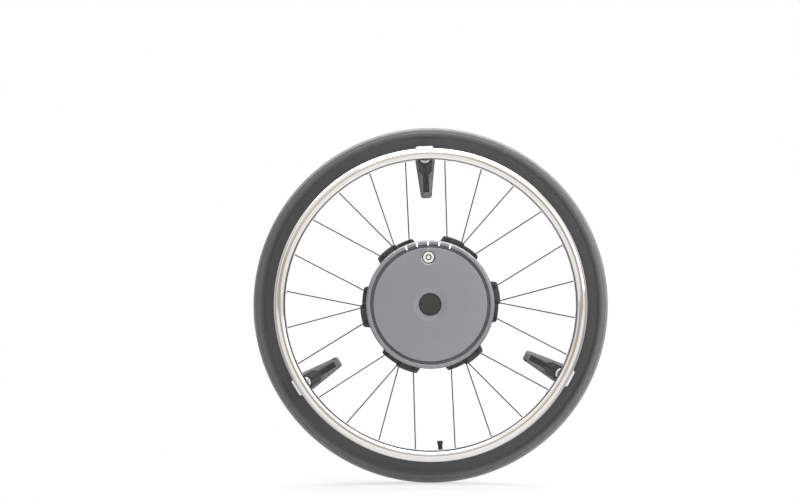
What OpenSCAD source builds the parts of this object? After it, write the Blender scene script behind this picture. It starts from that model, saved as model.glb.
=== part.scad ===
// Power assist drive wheel for a manual wheelchair.
// A hub drum holds a gearless motor, its battery and its controller. The drum turns on a hollow
// sleeve that a quick-release axle and a toothed spigot hold in the chair. Three arms on the rim
// carry the sprung push rim.
// The wheel is drawn with its axle along z and its outer face towards +z, then laid into the
// frame with on_axle(): the outer face looks along -Y and the axle stub points along +Y.
// The origin is on the axle, in the plane where the sleeve's collar meets the chair.

/* [Tyre and rim] */
// Diameter of the tyre's bead seat
bead_d = 540; // [500:1:560]
// Width of the tyre, which is also its height above the bead seat
tyre_w = 25; // [23:0.5:28]
// Outside width of the rim
rim_w = 22; // [20:0.5:25]
// Height of the rim from its outer edge to its inner wall
rim_depth = 23; // [21:0.5:26]
// Thickness of the rim's walls
rim_wall = 1.8; // [1.2:0.1:2.2]
// Height of the rim's edge above the bead seat
rim_edge_h = 6; // [4:0.5:7]
// Distance from the seat on the chair to the middle of the tyre
wheel_offset = 58; // [54:0.5:62]
// Angle that the whole wheel stands turned at rest
rest_turn = 2; // [-10:0.5:10]

/* [Spokes] */
// Diameter of a spoke
spoke_d = 2; // [1.6:0.1:2.3]
// Radius of the spoke heads' circle on the hub
spoke_circle_r = 108; // [107:0.5:110]
// Outer radius of the lobes that hold the spoke heads
lobe_r = 115; // [113:0.5:118]
// Thickness of the lobes
lobe_t = 5; // [4:0.5:6]

/* [Hub] */
// Outer diameter of the hub drum
hub_d = 206; // [202:1:208]
// Thickness of the drum's wall
hub_wall = 5; // [4:0.5:6]
// Distance from the seat on the chair to the back of the hub
hub_back = 14; // [13:0.5:18]
// Thickness of the back cover
back_t = 4; // [3:0.5:6]
// Diameter of the front cover's flat face
face_d = 186; // [180:1:188]
// Width of the dark groove round the front cover
groove_w = 4.5; // [3.5:0.25:5.5]
// How far the trim ring stands out past the drum
trim_proud = 2; // [1:0.25:3]
// Height of the front cover's crown
face_crown = 2.5; // [1:0.25:4]
// Thickness of the front cover
cover_t = 2.5; // [2:0.25:3.5]
// Radius of the shallow dish round the release cap
dish_r = 27.5; // [24:0.5:32]

/* [Motor] */
// Length of the motor's iron
core_len = 24; // [20:0.5:28]
// Radius of the motor's air gap
air_gap_r = 75; // [72:0.5:77]
// Width of the motor's air gap
air_gap = 0.6; // [0.5:0.1:1]
// Number of wound teeth
tooth_count = 36; // [24:3:36]
// Number of magnets
magnet_count = 40; // [28:2:40]

/* [Battery and controls] */
// Diameter of a battery cell
cell_d = 18.4; // [18:0.1:18.8]
// Length of a battery cell
cell_len = 65; // [63:0.5:66]
// Height of the parts on the control board
parts_h = 6.4; // [4:0.2:10]
// Radius from the hub's middle to the charging socket
socket_r = 77; // [72:0.5:78]
// Diameter of the socket's push button
button_d = 18; // [15:0.5:20]
// How far the push button travels
button_press = 1.2; // [0.6:0.1:1.6]
// Angle between neighbouring lights
light_pitch = 10.5; // [8:0.5:14]

/* [Push rim] */
// Radial distance from the rim's inner wall to the middle of the push rim's tube
pushrim_inset = 6.5; // [5:0.5:9]
// Diameter of the push rim's tube
pushrim_tube_d = 20; // [18:0.5:22]
// Wall of the push rim's tube
pushrim_wall = 1.5; // [1:0.1:2.5]
// Distance from the middle of the tyre to the middle of the push rim
pushrim_offset = 43; // [41:0.5:48]
// How far the push rim turns each way against its springs, in degrees
pushrim_swing = 0.9; // [0.5:0.05:0.95]

/* [Arms] */
// Length of an arm from the rim's inner wall to its tip
arm_len = 77; // [70:1:85]
// Width of an arm near its tip
arm_tip_w = 18; // [16:0.5:20]
// Width of an arm at the rim
arm_root_w = 37.5; // [36:0.5:40]
// Distance from the middle of the tyre to the front of an arm
arm_front = 26; // [25:0.5:27]
// Depth of the recess in an arm's front
recess_depth = 9; // [8:0.5:10]
// Width of the recess round the push rim's boss
recess_w = 20; // [19.5:0.25:22]
// Width of the groove that the spring blade lies in
groove_slot_w = 8.7; // [7:0.1:10]
// Thickness of a spring blade
blade_t = 1.2; // [0.8:0.1:1.6]

/* [Axle] */
// Diameter of the quick-release axle
axle_d = 12.7; // [12:0.1:12.8]
// How far the axle stands out past the seat on the chair
axle_reach = 84; // [78:1:110]
// Diameter of the bearings' bore
bearing_bore = 25; // [24.5:0.1:25.5]
// Outer diameter of the bearings
bearing_od = 42; // [41:0.2:43]
// Width of the bearings
bearing_w = 9; // [8:0.5:10]
// Diameter of the release cap
cap_d = 36; // [33:0.5:36.5]
// How far the release cap travels
release_press = 5; // [4:0.25:5.5]

/* [Hidden] */
$fn = 96;
fit_gap = 0.05;
free_gap = 0.35;
eps = 0.5;

// Rim and tyre, as radii from the axle
bead_r = bead_d / 2;
tyre_r = bead_r + tyre_w;
crown_r = tyre_w / 2;
crown_at = tyre_r - crown_r;
rim_out = bead_r + rim_edge_h;
rim_in = rim_out - rim_depth;
rim_half = rim_w / 2;
channel_half = rim_half - rim_wall;
bead_foot_half = channel_half - fit_gap;
bead_foot_w = 3.9;
well_half = channel_half - 2.7;
well_r = bead_r - 3.7;
floor_r = well_r - rim_wall;
rim_chamfer = 5;
tube_r = crown_r - 3.5;
tube_wall = 1;
tube_at = crown_at - 2;
tape_t = 0.6;

// Hub, as radii from the axle
hub_r = hub_d / 2;
bore_r = hub_r - hub_wall;
face_r = face_d / 2;
trim_in = face_r + groove_w;
trim_least_w = 7.5;
trim_out = max(hub_r + trim_proud, trim_in + trim_least_w);
lip_in = face_r - 1.4;
pack_r = bore_r - 3.5;
bearing_in_r = bearing_bore / 2;
bearing_out_r = bearing_od / 2;
bearing_mid_r = (bearing_in_r + bearing_out_r) / 2;
bearing_ball_r = (bearing_out_r - bearing_in_r) * 0.29;
race_gap = bearing_ball_r * 0.6;
bearing_ball_count = 12;
boss_wall = 4;
cap_r = cap_d / 2;
cap_hole_r = cap_r + free_gap + 0.15;

// Hub, as distances along the axle
drum_z0 = hub_back + back_t;
rear_bearing_z = drum_z0;
core_z0 = drum_z0 + 8;
core_z1 = core_z0 + core_len;
coil_over = 5;
ledge_t = coil_over + 5.7;
ledge_w = 8;
ledge_z0 = core_z1 + fit_gap;
plate_z0 = ledge_z0 + ledge_t;
plate_t = 4;
plate_z1 = plate_z0 + plate_t;
front_bearing_z = plate_z0 + 2;
standoff_h = 3;
board_z0 = plate_z1 + standoff_h;
board_t = 1.6;
tray_z0 = board_z0 + board_t + parts_h + free_gap;
tray_t = 2;
tray_skirt_t = 2.9;
cell_z = tray_z0 + tray_t + fit_gap + cell_d / 2;
lid_z0 = cell_z + cell_d / 2 + fit_gap;
lid_t = 1.5;
lid_z1 = lid_z0 + lid_t;
drum_z1 = lid_z1 - 2;
lip_z0 = lid_z1 + 2;
lip_t = 3.5;
lip_z1 = lip_z0 + lip_t;
seal_d = 1;
skirt_t = 3;
skirt_gap = 0.2;
face_edge = 1.2;
dish_drop = 1.2;
cover_z0 = lip_z1 + seal_d;
cover_z1 = cover_z0 + cover_t;
trim_z1 = cover_z1 - 0.3;
front_lobe_z1 = drum_z1 - 2;
front_lobe_z0 = front_lobe_z1 - lobe_t;
rear_lobe_z0 = drum_z0 + 6;
rear_lobe_z1 = rear_lobe_z0 + lobe_t;
cap_top = cover_z1 - 0.4;
cap_t = 3.5;
cap_under = cap_top - cap_t;
cap_skirt_t = 2;
cap_skirt_h = 5;
cap_chamfer = 0.8;

// Motor
core_out = bore_r - fit_gap;
tooth_w = 6;
tooth_tip_r = air_gap_r + 1;
tooth_root_r = tooth_tip_r + 8;
coil_side = 2.6;
tooth_tip_h = 1.2;
coil_root_gap = 0.4;
magnet_t = 4;
magnet_w = 9;
magnet_in = sqrt(pow(air_gap_r + 1 - air_gap, 2) - pow(magnet_w / 2, 2)) - magnet_t;
yoke_out = magnet_in - fit_gap;
yoke_in = yoke_out - 6;
carrier_disc_t = 4;
carrier_neck = 2;
carrier_neck_wall = 2.5;
carrier_rim_t = 5;
carrier_inset = 2;
carrier_hole_r = 10;
carrier_hub_r = bearing_out_r - 1;
key_w = 5;
key_len = 16;

// Axle and release
axle_r = axle_d / 2;
sleeve_bore_r = axle_r + 0.01;
inner_axle_r = axle_r - 0.05;
rod_r = 2.85;
rod_bore_r = rod_r + free_gap;
spigot_len = 9;
spigot_r = 17;
collar_r = 22;
collar_z1 = hub_back - 2.5;
sleeve_step_z = front_bearing_z + bearing_w + 0.1;
sleeve_tail_r = bearing_in_r - 1.5;
sleeve_nut_t = 6;
sleeve_z1 = cap_under - release_press - 11;
head_r = sleeve_tail_r - 0.2;
head_t = 5.8;
head_z1 = sleeve_z1 + head_t;
circlip_t = 1.2;
circlip_in = axle_r - 0.75;
circlip_out = axle_r + 2.2;
tip_len = 14;
tip_r = axle_r - 0.1;
tip_chamfer = 1;
tip_groove = 1.5;
tip_groove_d = 0.4;
pin_z0 = -(axle_reach - tip_len);
pin_z1 = -(spigot_len + circlip_t + 0.3);
ball_r = 2.4;
ball_hole_r = ball_r + 0.15;
ball_z = -(axle_reach - 7);
ball_proud = 1;
ball_at = axle_r + ball_proud - ball_r;
ball_sink = 1.2;
cone_slope = ball_sink / release_press;
cone_r = ball_at - (ball_r + fit_gap) * sqrt(1 + cone_slope * cone_slope);
rod_tip_z = -(axle_reach + 1.5);

// Push rim and arms, as radii and distances along the axle
ring_r = rim_in - pushrim_inset;
ring_z = wheel_offset + pushrim_offset;
ring_tube_r = pushrim_tube_d / 2;
boss_inset = 4.5;
boss_at = ring_r - boss_inset;
boss_flange_r = 9;
tab_half = 18;
tab_end_half = 12.5;
tab_proud = 3.5;
tab_z0 = ring_z - 8;
tab_t = 5;
arm_z1 = wheel_offset + arm_front;
recess_z = arm_z1 - recess_depth;
arm_floor_t = 5;
boss_z0 = arm_z1 + 1.5;
boss_z1 = ring_z - 5;
sweep = boss_at * sin(pushrim_swing);
pad_t = 1;
pad_len = 10;
neck_r = recess_w / 2 - pad_t - sweep - free_gap;
stem_r = 3;
stem_head_r = stem_r + 2.5;
stem_head_h = 2.6;
pocket_in = 20;
pocket_h = 6;
driver_hole_r = 4;
stem_z0 = recess_z - arm_floor_t - 0.3;
arm_end = rim_in - 0.05;
arm_tip = rim_in - arm_len;
arm_tip_round = 6;
foot_half = 8;
foot_len = 20;
blade_in = arm_tip + 3;
blade_out = boss_at + 3;
blade_z0 = recess_z + 1;
blade_z1 = arm_z1 - 1.5;
recess_in = boss_at - 21;
recess_neck = 8;
groove_in = arm_tip + 9;
rim_screw_x = 11;
rim_screw_r = 2.5;
rim_screw_z = wheel_offset;
rim_screw_seat = rim_in - 10;
rim_screw_head_r = rim_screw_r + 2;
rim_screw_head_h = 4;
rim_nut_len = 4.6;
blade_screw_r = 1.5;
blade_screw_head_r = blade_screw_r + 1.2;
blade_screw_head_h = 1.55;
blade_screw_seat = arm_tip_w / 2 - 2.35;
blade_screw_at = arm_tip + 6;
blade_screw_z = (blade_z0 + blade_z1) / 2;
pushrim_screw_r = 1.6;
arm_angles = [90, 210, 330];

// Spokes: hub angle and rim angle within one lobe's sector, seen from the front
lobe_count = 6;
front_pairs = [[0, -7.5], [13, 22.5]];
rear_pairs = [[0, 7.5], [-13, -22.5]];
lobe_root = 1;
lobe_from = -5;
lobe_to = 20.5;
spoke_r = spoke_d / 2;
elbow_r = spoke_r + 0.2;
spoke_hole_r = spoke_r + 0.2;
spoke_head_r = 2.4;
spoke_head_h = 1.2;
head_pocket_r = spoke_head_r + 0.8;
head_pocket_d = 2;
front_elbow_z = front_lobe_z0 - elbow_r - 0.2;
rear_elbow_z = rear_lobe_z1 + elbow_r + 0.2;
nipple_r = 2;
nipple_out = 9;
nipple_head_r = nipple_r + 1;
nipple_head_z = rim_wall + 1;
nipple_head_h = 2.2;
nipple_gap = 0.3;

// Charging socket and lights
socket_hole_r = button_d / 2 + 1.2;
bezel_r = socket_hole_r + 3;
socket_wall = 0.8;
socket_rim_z = cover_z1 - 0.6;
bezel_z = cover_z1 + 1;
button_t = 3;
button_top = cover_z1 + 0.6;
socket_floor = button_top - button_t - button_press - 2;
light_w = 3.3;
light_in = trim_in - 1.2;
light_out = trim_out - 2.2;
light_count = 5;
channel_in = trim_in + 2;
channel_out = trim_out - 2;
channel_z1 = trim_z1 - 3.6;
light_board_t = 1.2;
lamp_w = 2.8;
lamp_len = 2;
lamp_h = 2;
contact_out = 5;
contact_in = 3.1;
contact_sunk = 0.4;
button_stem_r = 1.5;
button_stem_in = 0.8;
socket_floor_t = 2.6;
dome_r = 4;
dome_neck_r = 2.6;
dome_bore_r = button_stem_r + free_gap;
mark_at = socket_r + bezel_r - 1.4;
mark_len = 2.2;
mark_w = 2;

// Ribs, screws and seal of the hub shell
back_rib_h = 1.5;
back_rib_w = 4;
back_rib_count = 12;
back_spigot_wall = 4;
back_spigot_len = 3;
back_screw_r = 1.5;
back_screw_len = 10;
back_screw_at = bore_r + hub_wall / 2;
back_screw_head_r = hub_wall / 2 - 0.5;
back_screw_head_h = 1.5;
back_screw_count = 8;
plate_screw_r = 2;
plate_screw_at = bore_r - 4;
plate_screw_head_r = 3.5;
plate_screw_head_h = 2.5;
plate_screw_count = 6;
seal_out_r = bearing_in_r + 5;

// Cells lie flat, each across its own radius, in an outer ring of seven and an inner ring of three
outer_cell_at = sqrt(pow(pack_r - 0.6, 2) - pow(cell_len / 2, 2)) - cell_d / 2;
inner_cell_at = sqrt(pow(outer_cell_at - cell_d / 2 - 0.6, 2) - pow(cell_len / 2, 2)) - cell_d / 2;
pack_tube_out = cap_r + 9;
pack_tube_in = pack_tube_out - 2;

// Control board and what stands on it
board_in = bearing_out_r + boss_wall + 2;
board_out = pack_r - 1;
standoff_at = pack_r - 6;
standoff_r = 3;
standoff_pin_r = 1.5;
standoff_head_r = 2.8;
standoff_head_h = 1.8;
switch_at = board_in + 17;
switch_len = 16;
switch_w = 10;
can_r = 7;
can_at = board_out - 3 * can_r - 0.5;
choke_len = 14;
choke_w = 18;
choke_at = board_out - choke_len - 17.5;

// Valve, at the foot of the wheel
valve_hole_r = 4.1;
valve_r = 4;
valve_angle = 270;
valve_in = rim_in - 20;
valve_nut_r = valve_r + 1.5;
valve_nut_t = 3;
valve_cap_len = 6;
valve_cap_r = valve_r + 0.8;

// Placing and repeating

module on_axle() {
  rotate([90, 0, 0])
    children();
}

module turned() {
  on_axle()
    rotate([0, 0, rest_turn])
      children();
}

module around(count, first = 0) {
  for (i = [0 : count - 1])
    rotate([0, 0, first + i * 360 / count])
      children();
}

module at_arms() {
  for (angle = arm_angles)
    rotate([0, 0, angle - 90])
      children();
}

module disc(r, z0, z1) {
  translate([0, 0, z0])
    cylinder(r = r, h = z1 - z0);
}

module ring(r_out, r_in, z0, z1) {
  difference() {
    disc(r_out, z0, z1);
    disc(r_in, z0 - eps, z1 + eps);
  }
}

module block(x0, x1, y0, y1, z0, z1) {
  translate([x0, y0, z0])
    cube([x1 - x0, y1 - y0, z1 - z0]);
}

module rod_y(r, x, y0, y1, z) {
  translate([x, y0, z])
    rotate([-90, 0, 0])
      cylinder(r = r, h = y1 - y0);
}

module rod_x(r, x0, x1, y, z) {
  translate([x0, y, z])
    rotate([0, 90, 0])
      cylinder(r = r, h = x1 - x0);
}

// Axle and release

module axle_profile() {
  polygon([
    [rod_bore_r, -axle_reach],
    [tip_r - tip_chamfer, -axle_reach],
    [tip_r, -axle_reach + tip_chamfer],
    [tip_r, pin_z0 - tip_groove],
    [tip_r - tip_groove_d, pin_z0 - tip_groove],
    [tip_r - tip_groove_d, pin_z0],
    [axle_r, pin_z0],
    [axle_r, pin_z1],
    [circlip_in - fit_gap, pin_z1],
    [circlip_in - fit_gap, -spigot_len],
    [inner_axle_r, -spigot_len],
    [inner_axle_r, sleeve_z1],
    [head_r, sleeve_z1],
    [head_r, head_z1],
    [rod_bore_r, head_z1]
  ]);
}

module axle_tube() {
  color("silver")
    on_axle()
      difference() {
        rotate_extrude()
          axle_profile();
        rod_y(ball_hole_r, 0, -2 * axle_r, 2 * axle_r, ball_z);
      }
}

module axle_sleeve() {
  color("darkgray")
    on_axle()
      difference() {
        union() {
          disc(collar_r, 0, collar_z1);
          disc(bearing_in_r - fit_gap, collar_z1 - eps, sleeve_step_z);
          disc(sleeve_tail_r, sleeve_step_z - eps, sleeve_z1);
          for (turn = [0, 30])
            rotate([0, 0, turn])
              translate([0, 0, -spigot_len])
                cylinder(r = spigot_r, h = spigot_len + eps, $fn = 6);
        }
        disc(sleeve_bore_r, -spigot_len - eps, sleeve_z1 + eps);
        carrier_keyway(fit_gap);
      }
}

module axle_circlip() {
  color("gray")
    on_axle()
      ring(circlip_out, circlip_in, -spigot_len - circlip_t - fit_gap, -spigot_len - fit_gap);
}

module sleeve_nut() {
  color("gray")
    on_axle()
      difference() {
        translate([0, 0, sleeve_step_z + fit_gap])
          cylinder(r = bearing_mid_r + 1, h = sleeve_nut_t, $fn = 6);
        disc(sleeve_tail_r + fit_gap, sleeve_step_z - eps, sleeve_step_z + sleeve_nut_t + 2 * eps);
      }
}

module release_cap() {
  color("black")
    on_axle() {
      rotate_extrude()
        polygon([
          [0, cap_under],
          [cap_r - cap_skirt_t, cap_under],
          [cap_r - cap_skirt_t, cap_under - cap_skirt_h],
          [cap_r, cap_under - cap_skirt_h],
          [cap_r, cap_top - cap_chamfer],
          [cap_r - cap_chamfer, cap_top],
          [0, cap_top]
        ]);
    }
}

module release_rod() {
  spare = 0.5;
  tip_chamfer = 0.8;
  neck_from = ball_z + release_press + spare;
  neck_to = ball_z + release_press + ball_r + spare;
  neck_r = cone_r - cone_slope * (release_press + spare);
  wide_z = ball_z - (rod_r - cone_r) / cone_slope;
  color("silver")
    on_axle()
      rotate_extrude()
        polygon([
          [0, rod_tip_z],
          [rod_r - tip_chamfer, rod_tip_z],
          [rod_r, rod_tip_z + tip_chamfer],
          [rod_r, wide_z],
          [neck_r, neck_from],
          [neck_r, neck_to],
          [rod_r, neck_to + rod_r - neck_r],
          [rod_r, cap_under - fit_gap],
          [0, cap_under - fit_gap]
        ]);
}

module lock_ball(side) {
  color("lightgray")
    on_axle()
      translate([0, side * ball_at, ball_z])
        sphere(r = ball_r);
}

module upper_lock_ball() {
  lock_ball(1);
}

module lower_lock_ball() {
  lock_ball(-1);
}

// One point of the release spring's wire, t from 0 to 1 along the wire and a round its section
function spring_point(t, a, turns, coil_r, wire_r, z0, z1) =
  let (reach = coil_r + wire_r * cos(a), angle = 360 * turns * t)
  [reach * cos(angle), reach * sin(angle), z0 + (z1 - z0) * t + wire_r * sin(a)];

module release_spring() {
  turns = 3;
  sides = 6;
  steps_a_turn = 24;
  steps = steps_a_turn * turns;
  wire_r = 0.6;
  coil_r = rod_r + free_gap + 2 * wire_r;
  z0 = head_z1 + wire_r + fit_gap;
  z1 = cap_under - wire_r - fit_gap;
  points = [
    for (i = [0 : steps], j = [0 : sides - 1])
      spring_point(i / steps, 360 * j / sides, turns, coil_r, wire_r, z0, z1)
  ];
  walls = [
    for (i = [0 : steps - 1], j = [0 : sides - 1], half = [0, 1])
      let (a = i * sides + j, b = i * sides + (j + 1) % sides)
      half == 0 ? [a, b, b + sides] : [a, b + sides, a + sides]
  ];
  first_end = [for (j = [1 : sides - 2]) [0, j + 1, j]];
  last = steps * sides;
  last_end = [for (j = [1 : sides - 2]) [last, last + j, last + j + 1]];
  color("silver")
    on_axle()
      polyhedron(points, concat(walls, first_end, last_end));
}

// Motor

module carrier_keyway(gap) {
  keyway_z = (core_z0 + core_z1 - key_len) / 2;
  block(
    -key_w / 2 - gap, key_w / 2 + gap,
    bearing_in_r - key_w / 2 - gap, bearing_in_r + key_w / 2 + gap,
    keyway_z - gap, keyway_z + key_len + gap
  );
}

module carrier_key() {
  color("silver")
    on_axle()
      carrier_keyway(0);
}

module magnet_carrier() {
  rear_z = rear_bearing_z + bearing_w + 2 * fit_gap;
  front_z = plate_z0 - carrier_neck;
  disc_z = (core_z0 + core_z1 - carrier_disc_t) / 2;
  color("dimgray")
    on_axle()
      difference() {
        union() {
          disc(carrier_hub_r, rear_z + carrier_neck, front_z);
          disc(bearing_in_r + carrier_neck_wall, rear_z, front_bearing_z - 2 * fit_gap);
          disc(yoke_in - fit_gap, disc_z, disc_z + carrier_disc_t);
          ring(yoke_in - fit_gap, yoke_in - carrier_rim_t, core_z0 + carrier_inset, core_z1 - carrier_inset);
        }
        disc(bearing_in_r, rear_z - eps, front_bearing_z + eps);
        carrier_keyway(fit_gap);
        around(6)
          translate([(carrier_hub_r + yoke_in) / 2, 0, 0])
            disc(carrier_hole_r, disc_z - eps, disc_z + carrier_disc_t + eps);
      }
}

module magnet_yoke() {
  color("gray")
    on_axle()
      ring(yoke_out, yoke_in, core_z0, core_z1);
}

module magnets() {
  color("slategray")
    on_axle()
      around(magnet_count)
        block(magnet_in, magnet_in + magnet_t, -magnet_w / 2, magnet_w / 2, core_z0, core_z1);
}

// Point on a tooth's flank, seen from the middle of the slot beside it
function tooth_flank(r, side) =
  let (half_pitch = 180 / tooth_count)
  [
    r * cos(half_pitch) + tooth_w / 2 * sin(half_pitch),
    side * (r * sin(half_pitch) - tooth_w / 2 * cos(half_pitch))
  ];

module winding_core() {
  slot_in = tooth_tip_r - 2;
  color("lightsteelblue")
    turned()
      difference() {
        ring(core_out, tooth_tip_r, core_z0, core_z1);
        around(tooth_count, 180 / tooth_count)
          translate([0, 0, core_z0 - eps])
            linear_extrude(core_len + 2 * eps)
              polygon([
                tooth_flank(slot_in, -1),
                tooth_flank(tooth_root_r, -1),
                tooth_flank(tooth_root_r, 1),
                tooth_flank(slot_in, 1)
              ]);
      }
}

module windings() {
  half = tooth_w / 2 + fit_gap;
  outer = half + coil_side;
  color("peru")
    turned()
      around(tooth_count)
        difference() {
          block(
            tooth_tip_r + tooth_tip_h, tooth_root_r - coil_root_gap,
            -outer, outer, core_z0 - coil_over, core_z1 + coil_over
          );
          block(
            tooth_tip_r, tooth_root_r + eps,
            -half, half, core_z0 - fit_gap, core_z1 + fit_gap
          );
        }
}

// Bearings

module race_pair(r_out, r_in) {
  for (z = [rear_bearing_z, front_bearing_z])
    difference() {
      ring(r_out, r_in, z, z + bearing_w);
      translate([0, 0, z + bearing_w / 2])
        rotate_extrude()
          translate([bearing_mid_r, 0])
            circle(r = bearing_ball_r + 2 * fit_gap);
    }
}

module bearing_inner_races() {
  color("silver")
    on_axle()
      race_pair(bearing_mid_r - race_gap, bearing_in_r);
}

module bearing_outer_races() {
  color("silver")
    turned()
      race_pair(bearing_out_r - fit_gap, bearing_mid_r + race_gap);
}

module bearing_balls() {
  color("lightgray")
    on_axle()
      for (z = [rear_bearing_z, front_bearing_z])
        around(bearing_ball_count)
          translate([bearing_mid_r, 0, z + bearing_w / 2])
            sphere(r = bearing_ball_r);
}

// Hub shell

// One lobe with slanted ends, from angle a0 to a1
module lobe(a0, a1, z0, z1) {
  slant = 4;
  root_r = hub_r - lobe_root;
  reach = lobe_r * 1.2;
  intersection() {
    disc(lobe_r, z0, z1);
    translate([0, 0, z0])
      linear_extrude(z1 - z0)
        polygon([
          root_r * [cos(a0), sin(a0)],
          reach * [cos(a0 + slant), sin(a0 + slant)],
          reach * [cos(a1 - slant), sin(a1 - slant)],
          root_r * [cos(a1), sin(a1)]
        ]);
  }
}

module spoke_head_holes(pairs, z0, z1, pocket_z) {
  for (pair = pairs)
    rotate([0, 0, pair[0]])
      translate([spoke_circle_r, 0, 0]) {
        disc(spoke_hole_r, z0 - eps, z1 + eps);
        disc(head_pocket_r, pocket_z, pocket_z + head_pocket_d + eps);
      }
}

module hub_drum() {
  color([0.13, 0.13, 0.14])
    turned()
      difference() {
        union() {
          ring(hub_r, bore_r, drum_z0, drum_z1);
          ring(bore_r + eps, bore_r - ledge_w, ledge_z0, plate_z0);
          around(lobe_count) {
            difference() {
              lobe(lobe_from, lobe_to, front_lobe_z0, front_lobe_z1);
              disc(hub_r - lobe_root, front_lobe_z0 - eps, front_lobe_z1 + eps);
            }
            difference() {
              lobe(-lobe_to, -lobe_from, rear_lobe_z0, rear_lobe_z1);
              disc(hub_r - lobe_root, rear_lobe_z0 - eps, rear_lobe_z1 + eps);
            }
          }
        }
        around(lobe_count) {
          spoke_head_holes(front_pairs, front_lobe_z0, front_lobe_z1, front_lobe_z1 - head_pocket_d);
          spoke_head_holes(rear_pairs, rear_lobe_z0, rear_lobe_z1, rear_lobe_z0 - eps);
        }
        around(back_screw_count)
          translate([back_screw_at, 0, 0])
            disc(back_screw_r + fit_gap, drum_z0 - eps, drum_z0 + back_screw_len);
        around(plate_screw_count, 30)
          translate([plate_screw_at, 0, 0])
            disc(plate_screw_r + fit_gap, ledge_z0 - eps, plate_z0 + eps);
      }
}

module back_cover() {
  rib_z = hub_back - back_rib_h;
  rim_rib_out = hub_r - 6;
  hub_rib_in = bearing_out_r + boss_wall + 5;
  color([0.16, 0.16, 0.17])
    turned()
      difference() {
        union() {
          disc(hub_r, hub_back, drum_z0);
          ring(bore_r - 2 * fit_gap, bore_r - back_spigot_wall, drum_z0 - eps, drum_z0 + back_spigot_len);
          disc(bearing_out_r + boss_wall, hub_back, rear_bearing_z + bearing_w);
          around(back_rib_count)
            block(
              hub_rib_in + back_rib_w / 2, rim_rib_out - back_rib_w / 2,
              -back_rib_w / 2, back_rib_w / 2, rib_z, hub_back + eps
            );
          ring(rim_rib_out, rim_rib_out - back_rib_w, rib_z, hub_back + eps);
          ring(hub_rib_in + back_rib_w, hub_rib_in, rib_z, hub_back + eps);
        }
        disc(bearing_out_r, rear_bearing_z, rear_bearing_z + bearing_w + eps);
        disc(seal_out_r + fit_gap, rib_z - eps, rear_bearing_z + eps);
        around(back_screw_count)
          translate([back_screw_at, 0, 0]) {
            disc(back_screw_r + fit_gap, hub_back - eps, drum_z0 + eps);
            disc(back_screw_head_r + fit_gap, hub_back - eps, hub_back + back_screw_head_h);
          }
      }
}

module back_cover_screws() {
  color("black")
    turned()
      around(back_screw_count)
        translate([back_screw_at, 0, 0]) {
          disc(back_screw_r, hub_back + eps, drum_z0 + back_screw_len - eps);
          disc(back_screw_head_r, hub_back, hub_back + back_screw_head_h - fit_gap);
        }
}

module shaft_seal() {
  color([0.1, 0.1, 0.1])
    turned()
      ring(seal_out_r, bearing_in_r + fit_gap, hub_back + free_gap, rear_bearing_z - fit_gap);
}

module bearing_plate() {
  color("gainsboro")
    turned()
      difference() {
        union() {
          disc(bore_r - 2 * fit_gap, plate_z0, plate_z1);
          disc(bearing_out_r + boss_wall, plate_z0, front_bearing_z + bearing_w);
        }
        disc(bearing_out_r, front_bearing_z, front_bearing_z + bearing_w + eps);
        disc(bearing_mid_r + race_gap, plate_z0 - eps, front_bearing_z + eps);
        around(plate_screw_count, 30)
          translate([plate_screw_at, 0, 0])
            disc(plate_screw_r + fit_gap, plate_z0 - eps, plate_z1 + eps);
      }
}

module plate_screws() {
  color("dimgray")
    turned()
      around(plate_screw_count, 30)
        translate([plate_screw_at, 0, 0]) {
          disc(plate_screw_r, ledge_z0 + eps, plate_z1 + eps);
          disc(plate_screw_head_r, plate_z1, plate_z1 + plate_screw_head_h);
        }
}

// Battery and controls

module board_holes(r) {
  around(6)
    translate([standoff_at, 0, 0])
      disc(r, board_z0 - eps, board_z0 + board_t + eps);
}

module control_board() {
  color("darkgreen")
    turned()
      difference() {
        ring(board_out, board_in, board_z0, board_z0 + board_t);
        board_holes(standoff_pin_r + 2 * fit_gap);
      }
}

module board_standoffs() {
  color("gold")
    turned()
      around(6)
        translate([standoff_at, 0, 0]) {
          disc(standoff_r, plate_z1, board_z0);
          disc(standoff_pin_r, board_z0 - eps, board_z0 + board_t + eps);
          disc(standoff_head_r, board_z0 + board_t, board_z0 + board_t + standoff_head_h);
        }
}

module board_parts() {
  z0 = board_z0 + board_t;
  color([0.2, 0.2, 0.22])
    turned() {
      around(6, 30)
        translate([switch_at, 0, 0])
          block(0, switch_len, -switch_w / 2, switch_w / 2, z0, z0 + 0.7 * parts_h);
      around(3, 60)
        translate([can_at, 0, 0])
          disc(can_r, z0, z0 + parts_h);
      around(3)
        translate([choke_at, 0, 0])
          block(0, choke_len, -choke_w / 2, choke_w / 2, z0, z0 + 0.5 * parts_h);
    }
}

module battery_cells() {
  color("mediumseagreen")
    turned() {
      around(7, 90 + 180 / 7)
        rod_y(cell_d / 2, outer_cell_at, -cell_len / 2, cell_len / 2, cell_z);
      around(3, 30)
        rod_y(cell_d / 2, inner_cell_at, -cell_len / 2, cell_len / 2, cell_z);
    }
}

module battery_tray() {
  color([0.85, 0.85, 0.82])
    turned()
      difference() {
        union() {
          ring(pack_r + tray_skirt_t, pack_tube_in, tray_z0, tray_z0 + tray_t);
          ring(pack_tube_out, pack_tube_in, tray_z0 + tray_t - eps, lid_z0);
          ring(pack_r + tray_skirt_t, pack_r, plate_z1, tray_z0 + eps);
        }
        around(plate_screw_count, 30)
          translate([plate_screw_at, 0, 0])
            disc(plate_screw_head_r + free_gap, plate_z1 - eps, plate_z1 + plate_screw_head_h + free_gap);
      }
}

module battery_lid() {
  color([0.8, 0.8, 0.78])
    turned()
      ring(pack_r, pack_tube_in, lid_z0 + fit_gap, lid_z1);
}

// Front cover, trim ring and lights

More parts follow.
